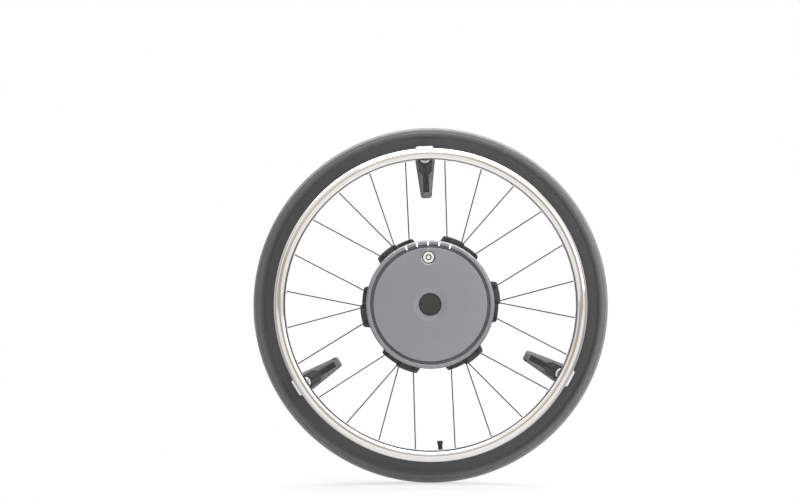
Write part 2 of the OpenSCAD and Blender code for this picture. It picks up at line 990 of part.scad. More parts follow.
module front_cover() {
  dish_z = cap_top - dish_drop;
  crown_z = cover_z1 + face_crown;
  skirt_z = lip_z0 + eps;
  color([0.57, 0.58, 0.61])
    turned()
      difference() {
        union() {
          rotate_extrude()
            polygon([
              [cap_hole_r, dish_z - cover_t],
              [dish_r, cover_z0 + face_crown * 0.6],
              [face_r - skirt_t, cover_z0],
              [face_r, cover_z0],
              [face_r, cover_z1 - face_edge],
              [face_r - face_edge, cover_z1],
              [face_r * 0.7, cover_z1 + face_crown * 0.55],
              [dish_r, crown_z],
              [cap_hole_r, dish_z]
            ]);
          ring(lip_in - skirt_gap, lip_in - skirt_t, skirt_z, cover_z0 + eps);
          translate([0, socket_r, 0])
            disc(bezel_r + 1, cover_z0, bezel_z);
        }
        translate([0, socket_r, 0]) {
          disc(socket_hole_r, skirt_z, cover_z1 + face_crown + eps);
          translate([0, 0, socket_rim_z])
            cylinder(r1 = socket_hole_r, r2 = bezel_r, h = bezel_z - socket_rim_z + free_gap);
        }
        translate([0, mark_at, 0])
          mark_window(fit_gap);
      }
}

// Small light beside the socket
module mark_window(gap) {
  half = mark_w / 2 + gap;
  block(-half, half, -gap, mark_len + gap, cover_z0 - eps, cover_z1 + 0.6);
}

module cover_seal() {
  color([0.1, 0.1, 0.1])
    turned()
      translate([0, 0, lip_z1 + seal_d / 2])
        rotate_extrude()
          translate([(lip_in + face_r) / 2, 0])
            circle(d = seal_d - 2 * fit_gap);
}

module light_window(gap) {
  narrow = 0.6;
  translate([0, 0, channel_z1 - gap])
    linear_extrude(trim_z1 - channel_z1 + gap + (gap > 0 ? eps : 0))
      polygon([
        [-light_w / 2 - gap, light_out + gap],
        [-light_w * narrow / 2 - gap, light_in - gap],
        [light_w * narrow / 2 + gap, light_in - gap],
        [light_w / 2 + gap, light_out + gap]
      ]);
}

module at_lights() {
  for (i = [0 : light_count - 1])
    rotate([0, 0, (i - (light_count - 1) / 2) * light_pitch])
      children();
}

module trim_ring() {
  in_slope = 1.6;
  out_slope = 2.4;
  out_edge = 0.7;
  color([0.72, 0.72, 0.74])
    turned()
      difference() {
        rotate_extrude()
          polygon([
            [bore_r, drum_z1],
            [trim_out, drum_z1],
            [trim_out, trim_z1 - out_slope - out_edge],
            [trim_out - out_edge, trim_z1 - out_slope / 2],
            [trim_out - out_slope, trim_z1],
            [trim_in + in_slope, trim_z1],
            [trim_in, trim_z1 - in_slope],
            [trim_in, lip_z1],
            [lip_in, lip_z1],
            [lip_in, lip_z0],
            [bore_r, lip_z0]
          ]);
        at_lights()
          light_window(fit_gap);
        rotate([0, 0, 90])
          intersection() {
            ring(channel_out, channel_in, drum_z1 - eps, channel_z1);
            light_sector(2.5, drum_z1 - eps, channel_z1);
          }
      }
}

// Sector behind the lights, wider than them by some pitches
module light_sector(margin, z0, z1) {
  half = light_pitch * ((light_count - 1) / 2 + margin / 2);
  reach = 2 * trim_out;
  translate([0, 0, z0])
    linear_extrude(z1 - z0)
      polygon([
        [0, 0],
        reach * [cos(half), -sin(half)],
        reach * [cos(half), sin(half)]
      ]);
}

module light_windows() {
  color("white")
    turned() {
      at_lights()
        light_window(0);
      translate([0, mark_at, 0])
        mark_window(0);
    }
}

module light_board() {
  board_top = channel_z1 - lamp_h;
  color("darkgreen")
    turned() {
      rotate([0, 0, 90])
        intersection() {
          ring(channel_out - fit_gap, channel_in + fit_gap, board_top - light_board_t, board_top);
          light_sector(2, board_top - 2 * light_board_t, board_top + eps);
        }
      at_lights()
        translate([0, (channel_in + channel_out) / 2, 0])
          block(-lamp_w / 2, lamp_w / 2, -lamp_len / 2, lamp_len / 2, board_top - eps, channel_z1 - free_gap);
    }
}

module at_socket() {
  turned()
    translate([0, socket_r, 0])
      children();
}

module socket_body() {
  color([0.12, 0.12, 0.12])
    at_socket()
      difference() {
        disc(socket_hole_r - fit_gap, socket_floor - socket_floor_t, socket_rim_z);
        disc(socket_hole_r - socket_wall, socket_floor, cover_z1 + eps);
        disc(button_stem_r + fit_gap, socket_floor - socket_floor_t - eps, socket_floor + eps);
      }
}

module power_button() {
  color("silver")
    at_socket()
      ring(button_d / 2, contact_out, button_top - button_t, button_top);
}

module contact_ring() {
  color("black")
    at_socket()
      ring(contact_out - fit_gap, contact_in, button_top - button_t, button_top - contact_sunk);
}

module contact_pin() {
  color("white")
    at_socket() {
      disc(contact_in - fit_gap, button_top - button_t, button_top - contact_sunk / 2);
      disc(button_stem_r, socket_floor - button_stem_in, button_top - button_t + eps);
    }
}

// Rubber dome that lifts the button, round its stem
module button_dome() {
  dome_h = button_top - button_t - socket_floor - 2 * fit_gap;
  color([0.1, 0.1, 0.1])
    at_socket()
      difference() {
        translate([0, 0, socket_floor + fit_gap])
          cylinder(r1 = dome_r, r2 = dome_neck_r, h = dome_h);
        disc(dome_bore_r, socket_floor - eps, button_top);
      }
}

// Spokes and rim

function polar(r, a, z) = [r * cos(a), r * sin(a), z];

// Lays children along a spoke, with z running outwards and zero at the rim's inner wall
module along_spoke(pair, elbow_z) {
  from = polar(spoke_circle_r, pair[0], elbow_z);
  to = polar(rim_in, pair[1], wheel_offset);
  way = to - from;
  translate(to)
    rotate([0, 0, atan2(way[1], way[0])])
      rotate([0, acos(way[2] / norm(way)), 0])
        children();
}

function spoke_len(pair, elbow_z) =
  norm(polar(rim_in, pair[1], wheel_offset) - polar(spoke_circle_r, pair[0], elbow_z));

module at_spokes() {
  around(lobe_count) {
    for (pair = front_pairs)
      along_spoke(pair, front_elbow_z)
        children();
    for (pair = rear_pairs)
      along_spoke(pair, rear_elbow_z)
        children();
  }
}

module spoke_set(pairs, elbow_z, head_z) {
  side = sign(head_z - elbow_z);
  around(lobe_count)
    for (pair = pairs) {
      along_spoke(pair, elbow_z)
        disc(spoke_r, -spoke_len(pair, elbow_z), rim_wall);
      rotate([0, 0, pair[0]])
        translate([spoke_circle_r, 0, 0]) {
          translate([0, 0, elbow_z])
            sphere(r = elbow_r);
          disc(spoke_r, min(elbow_z, head_z), max(elbow_z, head_z));
          disc(
            spoke_head_r,
            min(head_z, head_z + side * spoke_head_h), max(head_z, head_z + side * spoke_head_h)
          );
        }
    }
}

module front_spokes() {
  color([0.15, 0.15, 0.15])
    turned()
      spoke_set(front_pairs, front_elbow_z, front_lobe_z1 - head_pocket_d + fit_gap);
}

module rear_spokes() {
  color([0.15, 0.15, 0.15])
    turned()
      spoke_set(rear_pairs, rear_elbow_z, rear_lobe_z0 + head_pocket_d - fit_gap);
}

module spoke_nipples() {
  color([0.2, 0.2, 0.2])
    turned()
      at_spokes()
        difference() {
          union() {
            disc(nipple_r, -nipple_out, nipple_head_z + eps);
            disc(nipple_head_r, nipple_head_z, nipple_head_z + nipple_head_h);
          }
          disc(spoke_r + fit_gap, -nipple_out - eps, nipple_head_z + nipple_head_h + eps);
        }
}

module rim_profile() {
  difference() {
    polygon([
      [rim_out, -rim_half],
      [rim_out, rim_half],
      [rim_in + rim_chamfer, rim_half],
      [rim_in, rim_half - rim_chamfer],
      [rim_in, rim_chamfer - rim_half],
      [rim_in + rim_chamfer, -rim_half]
    ]);
    translate([bead_r, -channel_half])
      square([rim_edge_h + 1, 2 * channel_half]);
    translate([well_r, -well_half])
      square([rim_edge_h + 4, 2 * well_half]);
    polygon([
      [floor_r, -channel_half],
      [floor_r, channel_half],
      [rim_in + rim_chamfer + 0.5, channel_half],
      [rim_in + rim_wall, rim_half - rim_chamfer],
      [rim_in + rim_wall, rim_chamfer - rim_half],
      [rim_in + rim_chamfer + 0.5, -channel_half]
    ]);
  }
}

module rim() {
  color([0.2, 0.2, 0.21])
    turned()
      difference() {
        translate([0, 0, wheel_offset])
          rotate_extrude()
            rim_profile();
        at_spokes() {
          disc(nipple_r + nipple_gap, -rim_wall, nipple_head_z + eps);
          disc(nipple_head_r + 1, floor_r - rim_in - rim_wall, rim_depth);
        }
        at_arms()
          for (side = [-1, 1])
            rod_y(
              rim_screw_r + fit_gap, side * rim_screw_x,
              rim_in - rim_wall, rim_in + 2 * rim_wall, rim_screw_z
            );
        rotate([0, 0, valve_angle - 90])
          rod_y(valve_hole_r, 0, rim_in - rim_wall, bead_r, wheel_offset);
      }
}

module rim_tape() {
  color("goldenrod")
    turned()
      difference() {
        ring(
          well_r + tape_t + fit_gap, well_r + fit_gap,
          wheel_offset - well_half + free_gap, wheel_offset + well_half - free_gap
        );
        rotate([0, 0, valve_angle - 90])
          rod_y(valve_hole_r, 0, rim_in, bead_r, wheel_offset);
      }
}

module inner_tube() {
  color([0.1, 0.1, 0.1])
    turned()
      translate([0, 0, wheel_offset])
        rotate_extrude()
          translate([tube_at, 0])
            difference() {
              circle(r = tube_r);
              circle(r = tube_r - tube_wall);
            }
}

module valve_stem() {
  base = tube_at - tube_r - fit_gap;
  nut_end = sqrt(pow(rim_in, 2) - pow(valve_nut_r, 2)) - fit_gap;
  color([0.12, 0.12, 0.12])
    turned()
      rotate([0, 0, valve_angle - 90]) {
        rod_y(valve_r, 0, valve_in, base, wheel_offset);
        rod_y(valve_nut_r, 0, nut_end - valve_nut_t, nut_end, wheel_offset);
      }
}

module valve_cap() {
  color("black")
    turned()
      rotate([0, 0, valve_angle - 90])
        rod_y(valve_cap_r, 0, valve_in - valve_cap_len, valve_in, wheel_offset);
}

module tyre_profile() {
  cavity_r = tube_r + 3 * fit_gap;
  difference() {
    union() {
      translate([crown_at, 0])
        circle(r = crown_r);
      translate([bead_r + fit_gap, -bead_foot_half])
        square([crown_at - bead_r, 2 * bead_foot_half]);
    }
    translate([tube_at, 0])
      circle(r = cavity_r);
    translate([bead_r - tyre_w, bead_foot_w - bead_foot_half])
      square([tyre_w + tube_at - bead_r, 2 * (bead_foot_half - bead_foot_w)]);
    for (side = [-1, 1])
      translate([bead_r - tyre_w, side > 0 ? bead_foot_half : -tyre_w - bead_foot_half])
        square([tyre_w + rim_edge_h + fit_gap, tyre_w]);
    translate([bead_r - tyre_w, -tyre_w])
      square([tyre_w + fit_gap, 2 * tyre_w]);
  }
}

module tyre() {
  color([0.25, 0.25, 0.26])
    turned()
      translate([0, 0, wheel_offset])
        rotate_extrude()
          tyre_profile();
}

// Arms and push rim

module arm_outline() {
  tip_half = arm_tip_w / 2;
  root_half = arm_root_w / 2;
  polygon([
    [-tip_half + arm_tip_round, arm_tip],
    [tip_half - arm_tip_round, arm_tip],
    [tip_half - 0.3 * arm_tip_round, arm_tip + 0.3 * arm_tip_round],
    [tip_half, arm_tip + arm_tip_round],
    [root_half, rim_in + 5],
    [-root_half, rim_in + 5],
    [-tip_half, arm_tip + arm_tip_round],
    [-tip_half + 0.3 * arm_tip_round, arm_tip + 0.3 * arm_tip_round]
  ]);
}

// Side of an arm: a deep foot at the rim that thins towards the tip
module arm_side() {
  foot_z = wheel_offset - foot_half;
  rotate([90, 0, 90])
    translate([0, 0, -arm_root_w])
      linear_extrude(2 * arm_root_w)
        polygon([
          [arm_tip - 1, recess_z - 4],
          [arm_tip - 1, arm_z1 - 2],
          [arm_tip + arm_tip_round, arm_z1],
          [rim_in + 5, arm_z1],
          [rim_in + 5, foot_z],
          [rim_in - foot_len, foot_z],
          [boss_at - 26, recess_z - 6]
        ]);
}

module arm_recess() {
  wide = recess_w / 2;
  narrow = groove_slot_w / 2;
  translate([0, 0, recess_z])
    linear_extrude(recess_depth + eps)
      polygon([
        [-narrow, groove_in],
        [narrow, groove_in],
        [narrow, recess_in - recess_neck],
        [wide, recess_in],
        [wide, rim_in + 6],
        [-wide, rim_in + 6],
        [-wide, recess_in],
        [-narrow, recess_in - recess_neck]
      ]);
}

module arm() {
  slot_half = stem_r + sweep + free_gap;
  pocket_half = stem_head_r + sweep + free_gap;
  floor_z = recess_z - arm_floor_t;
  difference() {
    intersection() {
      translate([0, 0, wheel_offset - 2 * foot_half])
        linear_extrude(arm_front + 3 * foot_half)
          arm_outline();
      arm_side();
      disc(arm_end, 0, ring_z);
    }
    arm_recess();
    block(
      -blade_t / 2 - fit_gap, blade_t / 2 + fit_gap,
      blade_in - fit_gap, groove_in + eps, blade_z0 - fit_gap, arm_z1 + eps
    );
    block(
      -slot_half, slot_half,
      boss_at - stem_r - free_gap, boss_at + stem_r + free_gap, floor_z - eps, recess_z + eps
    );
    block(
      -pocket_half, pocket_half,
      boss_at - pocket_in, boss_at + stem_head_r + free_gap, floor_z - pocket_h, floor_z
    );
    translate([0, boss_at, 0])
      disc(driver_hole_r, wheel_offset - foot_half - eps, floor_z - pocket_h + eps);
    for (side = [-1, 1]) {
      rod_y(rim_screw_r + fit_gap, side * rim_screw_x, rim_screw_seat - eps, rim_in + eps, rim_screw_z);
      rod_y(
        rim_screw_head_r + free_gap, side * rim_screw_x,
        rim_screw_seat - arm_len, rim_screw_seat, rim_screw_z
      );
    }
    rod_x(blade_screw_r + fit_gap, -arm_tip_w, arm_tip_w, blade_screw_at, blade_screw_z);
    rod_x(blade_screw_head_r + 0.2, blade_screw_seat - fit_gap, arm_tip_w, blade_screw_at, blade_screw_z);
  }
}

module placed_arm(angle) {
  color([0.3, 0.3, 0.31])
    turned()
      rotate([0, 0, angle - 90])
        arm();
}

module arm_top() {
  placed_arm(arm_angles[0]);
}

module arm_left() {
  placed_arm(arm_angles[1]);
}

module arm_right() {
  placed_arm(arm_angles[2]);
}

module arm_screws() {
  color("dimgray")
    turned()
      at_arms()
        for (side = [-1, 1]) {
          rod_y(
            rim_screw_r, side * rim_screw_x,
            rim_screw_seat - eps, rim_in + rim_wall + rim_nut_len - eps, rim_screw_z
          );
          rod_y(
            rim_screw_head_r, side * rim_screw_x,
            rim_screw_seat - rim_screw_head_h, rim_screw_seat - fit_gap, rim_screw_z
          );
        }
}

module rivet_nuts() {
  nut_from = rim_in + rim_wall + free_gap;
  color("silver")
    turned()
      at_arms()
        for (side = [-1, 1])
          difference() {
            rod_y(rim_screw_r + 1.5, side * rim_screw_x, nut_from, nut_from + rim_nut_len, rim_screw_z);
            rod_y(rim_screw_r + fit_gap, side * rim_screw_x, rim_in, rim_in + rim_depth, rim_screw_z);
          }
}

module spring_blades() {
  color("lightgray")
    turned()
      at_arms()
        difference() {
          block(-blade_t / 2, blade_t / 2, blade_in, blade_out, blade_z0, blade_z1);
          rod_x(blade_screw_r + fit_gap, -blade_t, blade_t, blade_screw_at, blade_screw_z);
        }
}

module blade_screws() {
  color("silver")
    turned()
      at_arms() {
        rod_x(blade_screw_r, 1 - arm_tip_w / 2, blade_screw_seat + eps, blade_screw_at, blade_screw_z);
        rod_x(
          blade_screw_head_r, blade_screw_seat, blade_screw_seat + blade_screw_head_h,
          blade_screw_at, blade_screw_z
        );
      }
}

module stop_pads() {
  color([0.1, 0.1, 0.1])
    turned()
      at_arms()
        for (side = [-1, 1])
          translate([side * (recess_w / 2 - pad_t / 2), boss_at, (recess_z + arm_z1) / 2])
            cube([pad_t - 2 * fit_gap, pad_len, recess_depth - 2], center = true);
}

module pushrim_tube() {
  color("gainsboro")
    turned()
      translate([0, 0, ring_z])
        rotate_extrude()
          translate([ring_r, 0])
            difference() {
              circle(r = ring_tube_r);
              circle(r = ring_tube_r - pushrim_wall);
            }
}

// Tab welded on the outer side of the push rim, opposite a boss
module weld_tab() {
  edge = ring_r + ring_tube_r;
  translate([0, 0, tab_z0])
    linear_extrude(tab_t)
      polygon([
        [-tab_half, edge - tab_proud],
        [tab_half, edge - tab_proud],
        [tab_end_half, edge + tab_proud],
        [-tab_end_half, edge + tab_proud]
      ]);
}

module pushrim_bosses() {
  color("silver")
    turned()
      at_arms()
        difference() {
          union() {
            translate([0, boss_at, 0]) {
              disc(boss_flange_r, boss_z0, boss_z1);
              disc(neck_r, recess_z + 0.3, boss_z0 + eps);
              disc(stem_r, stem_z0, recess_z + eps);
            }
            weld_tab();
          }
          translate([0, 0, ring_z])
            rotate_extrude()
              translate([ring_r, 0])
                circle(r = ring_tube_r + fit_gap);
          block(
            -blade_t / 2 - 0.1, blade_t / 2 + 0.1,
            boss_at - neck_r - 1, boss_at + neck_r + 1, recess_z, blade_z1 + 0.3
          );
          translate([0, boss_at, 0])
            disc(pushrim_screw_r + fit_gap, stem_z0 - eps, recess_z + 0.9);
        }
}

module pushrim_screws() {
  color("silver")
    turned()
      at_arms()
        translate([0, boss_at, 0]) {
          disc(pushrim_screw_r, stem_z0 - 1, recess_z);
          disc(stem_head_r, stem_z0 - stem_head_h, stem_z0 - fit_gap);
        }
}

axle_tube();
axle_sleeve();
axle_circlip();
sleeve_nut();
magnet_carrier();
carrier_key();
magnet_yoke();
magnets();
bearing_inner_races();
bearing_balls();
release_spring();
release_cap();
release_rod();
upper_lock_ball();
lower_lock_ball();
hub_drum();
back_cover();
back_cover_screws();
shaft_seal();
bearing_plate();
plate_screws();
bearing_outer_races();
winding_core();
windings();
control_board();
board_standoffs();
board_parts();
battery_tray();
battery_cells();
battery_lid();
front_cover();
cover_seal();
trim_ring();
light_windows();
light_board();
socket_body();
button_dome();
power_button();
contact_ring();
contact_pin();
front_spokes();
rear_spokes();
spoke_nipples();
rim();
rim_tape();
inner_tube();
valve_stem();
valve_cap();
tyre();
arm_top();
arm_left();
arm_right();
arm_screws();
rivet_nuts();
spring_blades();
blade_screws();
stop_pads();
pushrim_tube();
pushrim_bosses();
pushrim_screws();
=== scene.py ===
import math

import bmesh
import bpy
from mathutils import Matrix, Vector


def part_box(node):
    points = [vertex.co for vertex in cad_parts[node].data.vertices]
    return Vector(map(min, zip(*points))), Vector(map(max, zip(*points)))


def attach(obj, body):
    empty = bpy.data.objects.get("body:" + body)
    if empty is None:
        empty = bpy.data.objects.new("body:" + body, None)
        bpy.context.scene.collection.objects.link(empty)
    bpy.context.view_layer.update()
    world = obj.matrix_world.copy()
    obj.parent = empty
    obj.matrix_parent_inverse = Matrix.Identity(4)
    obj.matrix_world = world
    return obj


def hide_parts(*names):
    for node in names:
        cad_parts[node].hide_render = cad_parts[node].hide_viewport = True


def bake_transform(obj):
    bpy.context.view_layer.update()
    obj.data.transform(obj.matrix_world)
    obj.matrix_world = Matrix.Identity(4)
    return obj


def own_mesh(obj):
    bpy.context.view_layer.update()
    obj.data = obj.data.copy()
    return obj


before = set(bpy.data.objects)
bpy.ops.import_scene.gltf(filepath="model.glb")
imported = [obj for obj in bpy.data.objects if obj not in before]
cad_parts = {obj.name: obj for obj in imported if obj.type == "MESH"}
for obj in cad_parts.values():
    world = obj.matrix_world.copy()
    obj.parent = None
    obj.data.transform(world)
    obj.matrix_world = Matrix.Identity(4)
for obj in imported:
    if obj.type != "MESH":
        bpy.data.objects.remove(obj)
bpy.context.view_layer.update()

bl_info = {
    "name": "Power assist wheel",
    "version": (1, 0, 0),
    "blender": (4, 5, 0),
    "location": "3D View > Sidebar > Wheel",
    "description": "Dresses a wheelchair drive wheel with a hub motor and a sprung push rim",
    "category": "Object",
}

MM = 0.001
AXLE = Vector((0, 1, 0))
OUTWARDS = Vector((0, -1, 0))
ORIGIN = (0, 0, 0)
REST_TURN = math.radians(2)
ARM_TURNS = [math.radians(angle) for angle in (0, 120, 240)]
ARM_NAMES = ("top", "left", "right")
SECTORS = 6

# Distances from the axle, in mm
SOCKET_AT = 77.0
SPOKE_CIRCLE = 108
BOSS_AT = 242.0


def node_reach(name):
    """Radius of a round node about the axle, and where it starts and ends outwards from the seat, in mm."""
    low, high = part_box(name)
    return (high.z - low.z) / 2 / MM, -high.y / MM, -low.y / MM


TYRE_R, TYRE_BACK, TYRE_FRONT = node_reach("tyre")
RIM_R, RIM_BACK, RIM_FRONT = node_reach("rim")
HOOP_R, HOOP_BACK, HOOP_FRONT = node_reach("pushrim_tube")
TRIM_R, TRIM_BACK, TRIM_FRONT = node_reach("trim_ring")
FACE_R, _, FACE_FRONT = node_reach("front_cover")
CAP_R, CAP_BACK, CAP_FRONT = node_reach("release_cap")
BACK_R, BACK_RIBS, BACK_INNER = node_reach("back_cover")
RIM_INNER = RIM_R - 23
MID = (TYRE_BACK + TYRE_FRONT) / 2
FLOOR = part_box("tyre")[0].z


# Sizes and colours that a user may change


def length(name, text, value):
    """Property for a length, given in mm and kept in metres."""
    return bpy.props.FloatProperty(
        name=name, description=text, default=value * MM, min=0.0, precision=5,
        subtype="DISTANCE", unit="LENGTH",
    )


def colour(name, text, value):
    """Property for a surface colour."""
    return bpy.props.FloatVectorProperty(
        name=name, description=text, default=value, size=3, min=0.0, max=1.0, subtype="COLOR",
    )


class WheelSizes(bpy.types.PropertyGroup):
    """Sizes of the details that the solids leave plain."""

    tyre_line: length("Tyre line", "Depth of the moulded lines round the tyre's sides", 0.4)
    tyre_crown: length("Tyre crown", "Radius of the tyre's round cross-section", (TYRE_FRONT - TYRE_BACK) / 2)
    rim_lip: length("Rim lip", "Height of the edge between the rim and the tyre", 1.2)
    spoke_radius: length("Spoke radius", "Radius of a spoke's wire", 1.0)
    hoop_tube: length("Push rim tube", "Radius of the push rim's tube", (HOOP_FRONT - HOOP_BACK) / 2)
    weld_pad: length("Weld pad", "Width of the tab welded on the push rim at each arm", 35.8)
    arm_slope: length("Arm slope", "Width of the sloped faces along an arm's edges", 5.0)
    lobe_edge: length("Lobe edge", "Rounding of the spoke lobes' edges", 0.9)
    face_edge: length("Face edge", "Rounding of the hub face's outer edge", 1.3)
    light_width: length("Light width", "Width of a light bar at its outer end", 3.3)


class WheelColours(bpy.types.PropertyGroup):
    """Colours of the finishes, one for each material slot."""

    tyre_rubber: colour("Tyre", "Rubber of the tyre", (0.060, 0.060, 0.063))
    soft_rubber: colour("Seals", "Seals, tube and pads", (0.035, 0.035, 0.037))
    rim_black: colour("Rim", "Anodised rim", (0.060, 0.060, 0.061))
    spoke_black: colour("Spokes", "Spokes and nipples", (0.050, 0.050, 0.050))
    pushrim_steel: colour("Push rim", "Polished steel of the push rim", (0.80, 0.79, 0.77))
    arm_plastic: colour("Arms", "Moulded arms", (0.150, 0.150, 0.155))
    hub_black: colour("Drum", "Painted hub drum", (0.042, 0.042, 0.043))
    face_grey: colour("Face", "Painted face of the hub", (0.285, 0.290, 0.315))
    trim_silver: colour("Trim", "Satin trim ring and bezel", (0.34, 0.345, 0.365))
    cap_black: colour("Cap", "Release cap and button ring", (0.030, 0.030, 0.028))
    light_white: colour("Lights", "Milky light bars", (0.86, 0.87, 0.89))
    steel: colour("Steel", "Turned axle steel", (0.38, 0.38, 0.39))
    copper: colour("Copper", "Motor windings", (0.62, 0.24, 0.08))
    magnet: colour("Magnets", "Plated magnets", (0.30, 0.30, 0.32))
    core_iron: colour("Core", "Laminated motor core", (0.20, 0.20, 0.21))
    board_green: colour("Boards", "Lacquered circuit boards", (0.02, 0.12, 0.05))
    part_black: colour("Board parts", "Moulded electronic parts", (0.025, 0.025, 0.025))
    cell_wrap: colour("Cells", "Shrunk wrap of the battery cells", (0.05, 0.14, 0.32))
    tray_plastic: colour("Tray", "Battery tray and lid", (0.10, 0.10, 0.105))
    contact_silver: colour("Contacts", "Plated charging contacts", (0.88, 0.87, 0.85))
    tape_cloth: colour("Rim tape", "Woven tape in the rim's well", (0.50, 0.34, 0.12))


def size(key):
    """One of the panel's sizes, in mm."""
    return getattr(bpy.context.scene.wheel_sizes, key) / MM


# Hand tools: each leaves its object active, in object mode and alone in the selection; sizes are in mm


def let_go():
    """Leaves edit mode and deselects everything."""
    if bpy.context.object and bpy.context.object.mode != "OBJECT":
        bpy.ops.object.mode_set(mode="OBJECT")
    bpy.ops.object.select_all(action="DESELECT")


def take(obj):
    """Makes one object active and selected alone."""
    let_go()
    obj.select_set(True)
    bpy.context.view_layer.objects.active = obj


def edit(obj):
    """Opens an object in edit mode with nothing selected."""
    take(obj)
    bpy.ops.object.mode_set(mode="EDIT")
    bpy.ops.mesh.select_all(action="DESELECT")


def pick(obj, kind, test):
    """Selects, in edit mode, the vertices, edges or faces that pass a test."""
    bpy.ops.mesh.select_mode(type={"verts": "VERT", "edges": "EDGE", "faces": "FACE"}[kind])
    bpy.ops.mesh.select_all(action="DESELECT")
    form = bmesh.from_edit_mesh(obj.data)
    form.verts.index_update()
    for item in getattr(form, kind):
        if test(item):
            item.select_set(True)
    form.select_flush_mode()
    bmesh.update_edit_mesh(obj.data)


def close_up(obj):
    """Merges doubled vertices, turns the faces outwards and goes back to object mode."""
    bpy.ops.mesh.select_mode(type="VERT")
    bpy.ops.mesh.select_all(action="SELECT")
    bpy.ops.mesh.remove_doubles(threshold=1e-6)
    bpy.ops.mesh.normals_make_consistent(inside=False)
    bpy.ops.object.mode_set(mode="OBJECT")
    return obj


def draw(name, points, close=True):
    """Draws a line from point to point by extruding one vertex, and leaves it selected in edit mode."""
    let_go()
    bpy.ops.mesh.primitive_plane_add(size=MM, location=ORIGIN)
    obj = bpy.context.object
    obj.name = obj.data.name = name
    bpy.ops.object.mode_set(mode="EDIT")
    bpy.ops.mesh.select_mode(type="VERT")
    bpy.ops.mesh.select_all(action="SELECT")
    bpy.ops.mesh.merge(type="CENTER")
    bpy.ops.mesh.select_all(action="SELECT")
    places = [Vector(point) * MM for point in points]
    bpy.ops.transform.translate(value=places[0])
    for here, there in zip(places, places[1:]):
        bpy.ops.mesh.extrude_vertices_move(TRANSFORM_OT_translate={"value": there - here})
    if close:
        last = len(places) - 1
        pick(obj, "verts", lambda v: v.index in (0, last))
        bpy.ops.mesh.edge_face_add()
    bpy.ops.mesh.select_all(action="SELECT")
    return obj


def turn(name, section, steps=160, close=True):
    """Draws a section of (radius, distance outwards) points and spins it once round the axle."""
    obj = draw(name, [(r, -out, 0) for r, out in section], close)
    bpy.ops.mesh.spin(steps=steps, angle=math.tau, center=ORIGIN, axis=AXLE)
    return close_up(obj)


def rod(name, radius, start, end, steps=32):
    """Turns a plain round rod between two distances outwards."""
    return turn(name, [(0, start), (radius, start), (radius, end), (0, end)], steps)


def prism(name, outline, push):
    """Draws a flat outline, fills it and extrudes it along push."""
    obj = draw(name, outline)
    bpy.ops.mesh.edge_face_add()
    bpy.ops.mesh.extrude_region_move(TRANSFORM_OT_translate={"value": Vector(push) * MM})
    return close_up(obj)


def plate(name, corners, start, deep, bends=4):
    """Extrudes a rounded outline of the outer face outwards by a depth."""
    return prism(name, [at_face(x, up, start) for x, up in rounded(corners, bends)], (0, -deep, 0))


def slab(name, half, low, high, start, end):
    """Extrudes a rectangle, even about the middle, between two distances outwards."""
    return plate(
        name, [(-half, low, 0), (half, low, 0), (half, high, 0), (-half, high, 0)], start, end - start)


def wire(name, points, radius, facets=2):
    """Draws a line and gives it the round thickness of a wire."""
    obj = draw(name, points, close=False)
    bpy.ops.object.mode_set(mode="OBJECT")
    bpy.ops.object.convert(target="CURVE")
    obj = bpy.context.object
    obj.data.bevel_depth = radius * MM
    obj.data.bevel_resolution = facets
    obj.data.use_fill_caps = True
    bpy.ops.object.convert(target="MESH")
    obj = bpy.context.object
    edit(obj)
    return close_up(obj)


def apply_modifier(obj, kind, **values):
    """Adds one modifier, sets its values and applies it."""
    take(obj)
    modifier = obj.modifiers.new(kind.title(), kind)
    for key, value in values.items():
        setattr(modifier, key, value)
    bpy.ops.object.modifier_apply(modifier=modifier.name)
    return obj


def soften(obj, width, segments=3, angle=30):
    """Rounds every edge sharper than an angle."""
    return apply_modifier(
        obj, "BEVEL", width=width * MM, segments=segments, limit_method="ANGLE",
        angle_limit=math.radians(angle), use_clamp_overlap=True,
    )


def combine(obj, other, operation):
    """Cuts or joins another form with a boolean, which uses it up."""
    apply_modifier(obj, "BOOLEAN", operation=operation, solver="EXACT", object=other)
    bpy.data.objects.remove(other)
    return obj


def twins(obj, places):
    """Copies a form to each place, each with its own mesh, and removes the first one."""
    made = []
    for place in places:
        take(obj)
        bpy.ops.object.duplicate(linked=False)
        made.append(moved(bpy.context.object, place))
    bpy.data.objects.remove(obj)
    return made


def copies(obj, places):
    """Copies a form to each place and joins the copies into one object."""
    name = obj.name
    return join(name, twins(obj, places))


def join(name, objects):
    """Joins several forms into one object."""
    let_go()
    for obj in objects:
        obj.select_set(True)
    bpy.context.view_layer.objects.active = objects[0]
    bpy.ops.object.join()
    whole = bpy.context.object
    whole.name = whole.data.name = name
    return whole


def moved(obj, place):
    """Moves a form to its place and leaves its object at the origin."""
    take(obj)
    obj.matrix_world = place
    bpy.ops.object.transform_apply(location=True, rotation=True, scale=True)
    return obj


def about_axle(angle=0.0):
    """Turn about the axle with the wheel's turn at rest, anticlockwise seen from the outer face."""
    return Matrix.Rotation(-REST_TURN - angle, 4, AXLE)


def around(count):
    """Turns that share a full circle, with the wheel's turn at rest."""
    return [about_axle(i * math.tau / count) for i in range(count)]


def around_unturned(count):
    """Turns that share a full circle, before the wheel's own turn at rest."""
    return [Matrix.Rotation(i * math.tau / count, 4, AXLE) for i in range(count)]


def on_arms():
    """Turns of the three arms."""
    return [about_axle(angle) for angle in ARM_TURNS]


def at_face(x, up, out):
    """Point given as seen from the outer face, in mm: across, up and outwards from the seat."""
    return Vector((x, -out, up))


def polar(r, degrees, out):
    """Point at a radius and angle of the outer face, in mm."""
    angle = math.radians(degrees)
    return at_face(r * math.cos(angle), r * math.sin(angle), out)


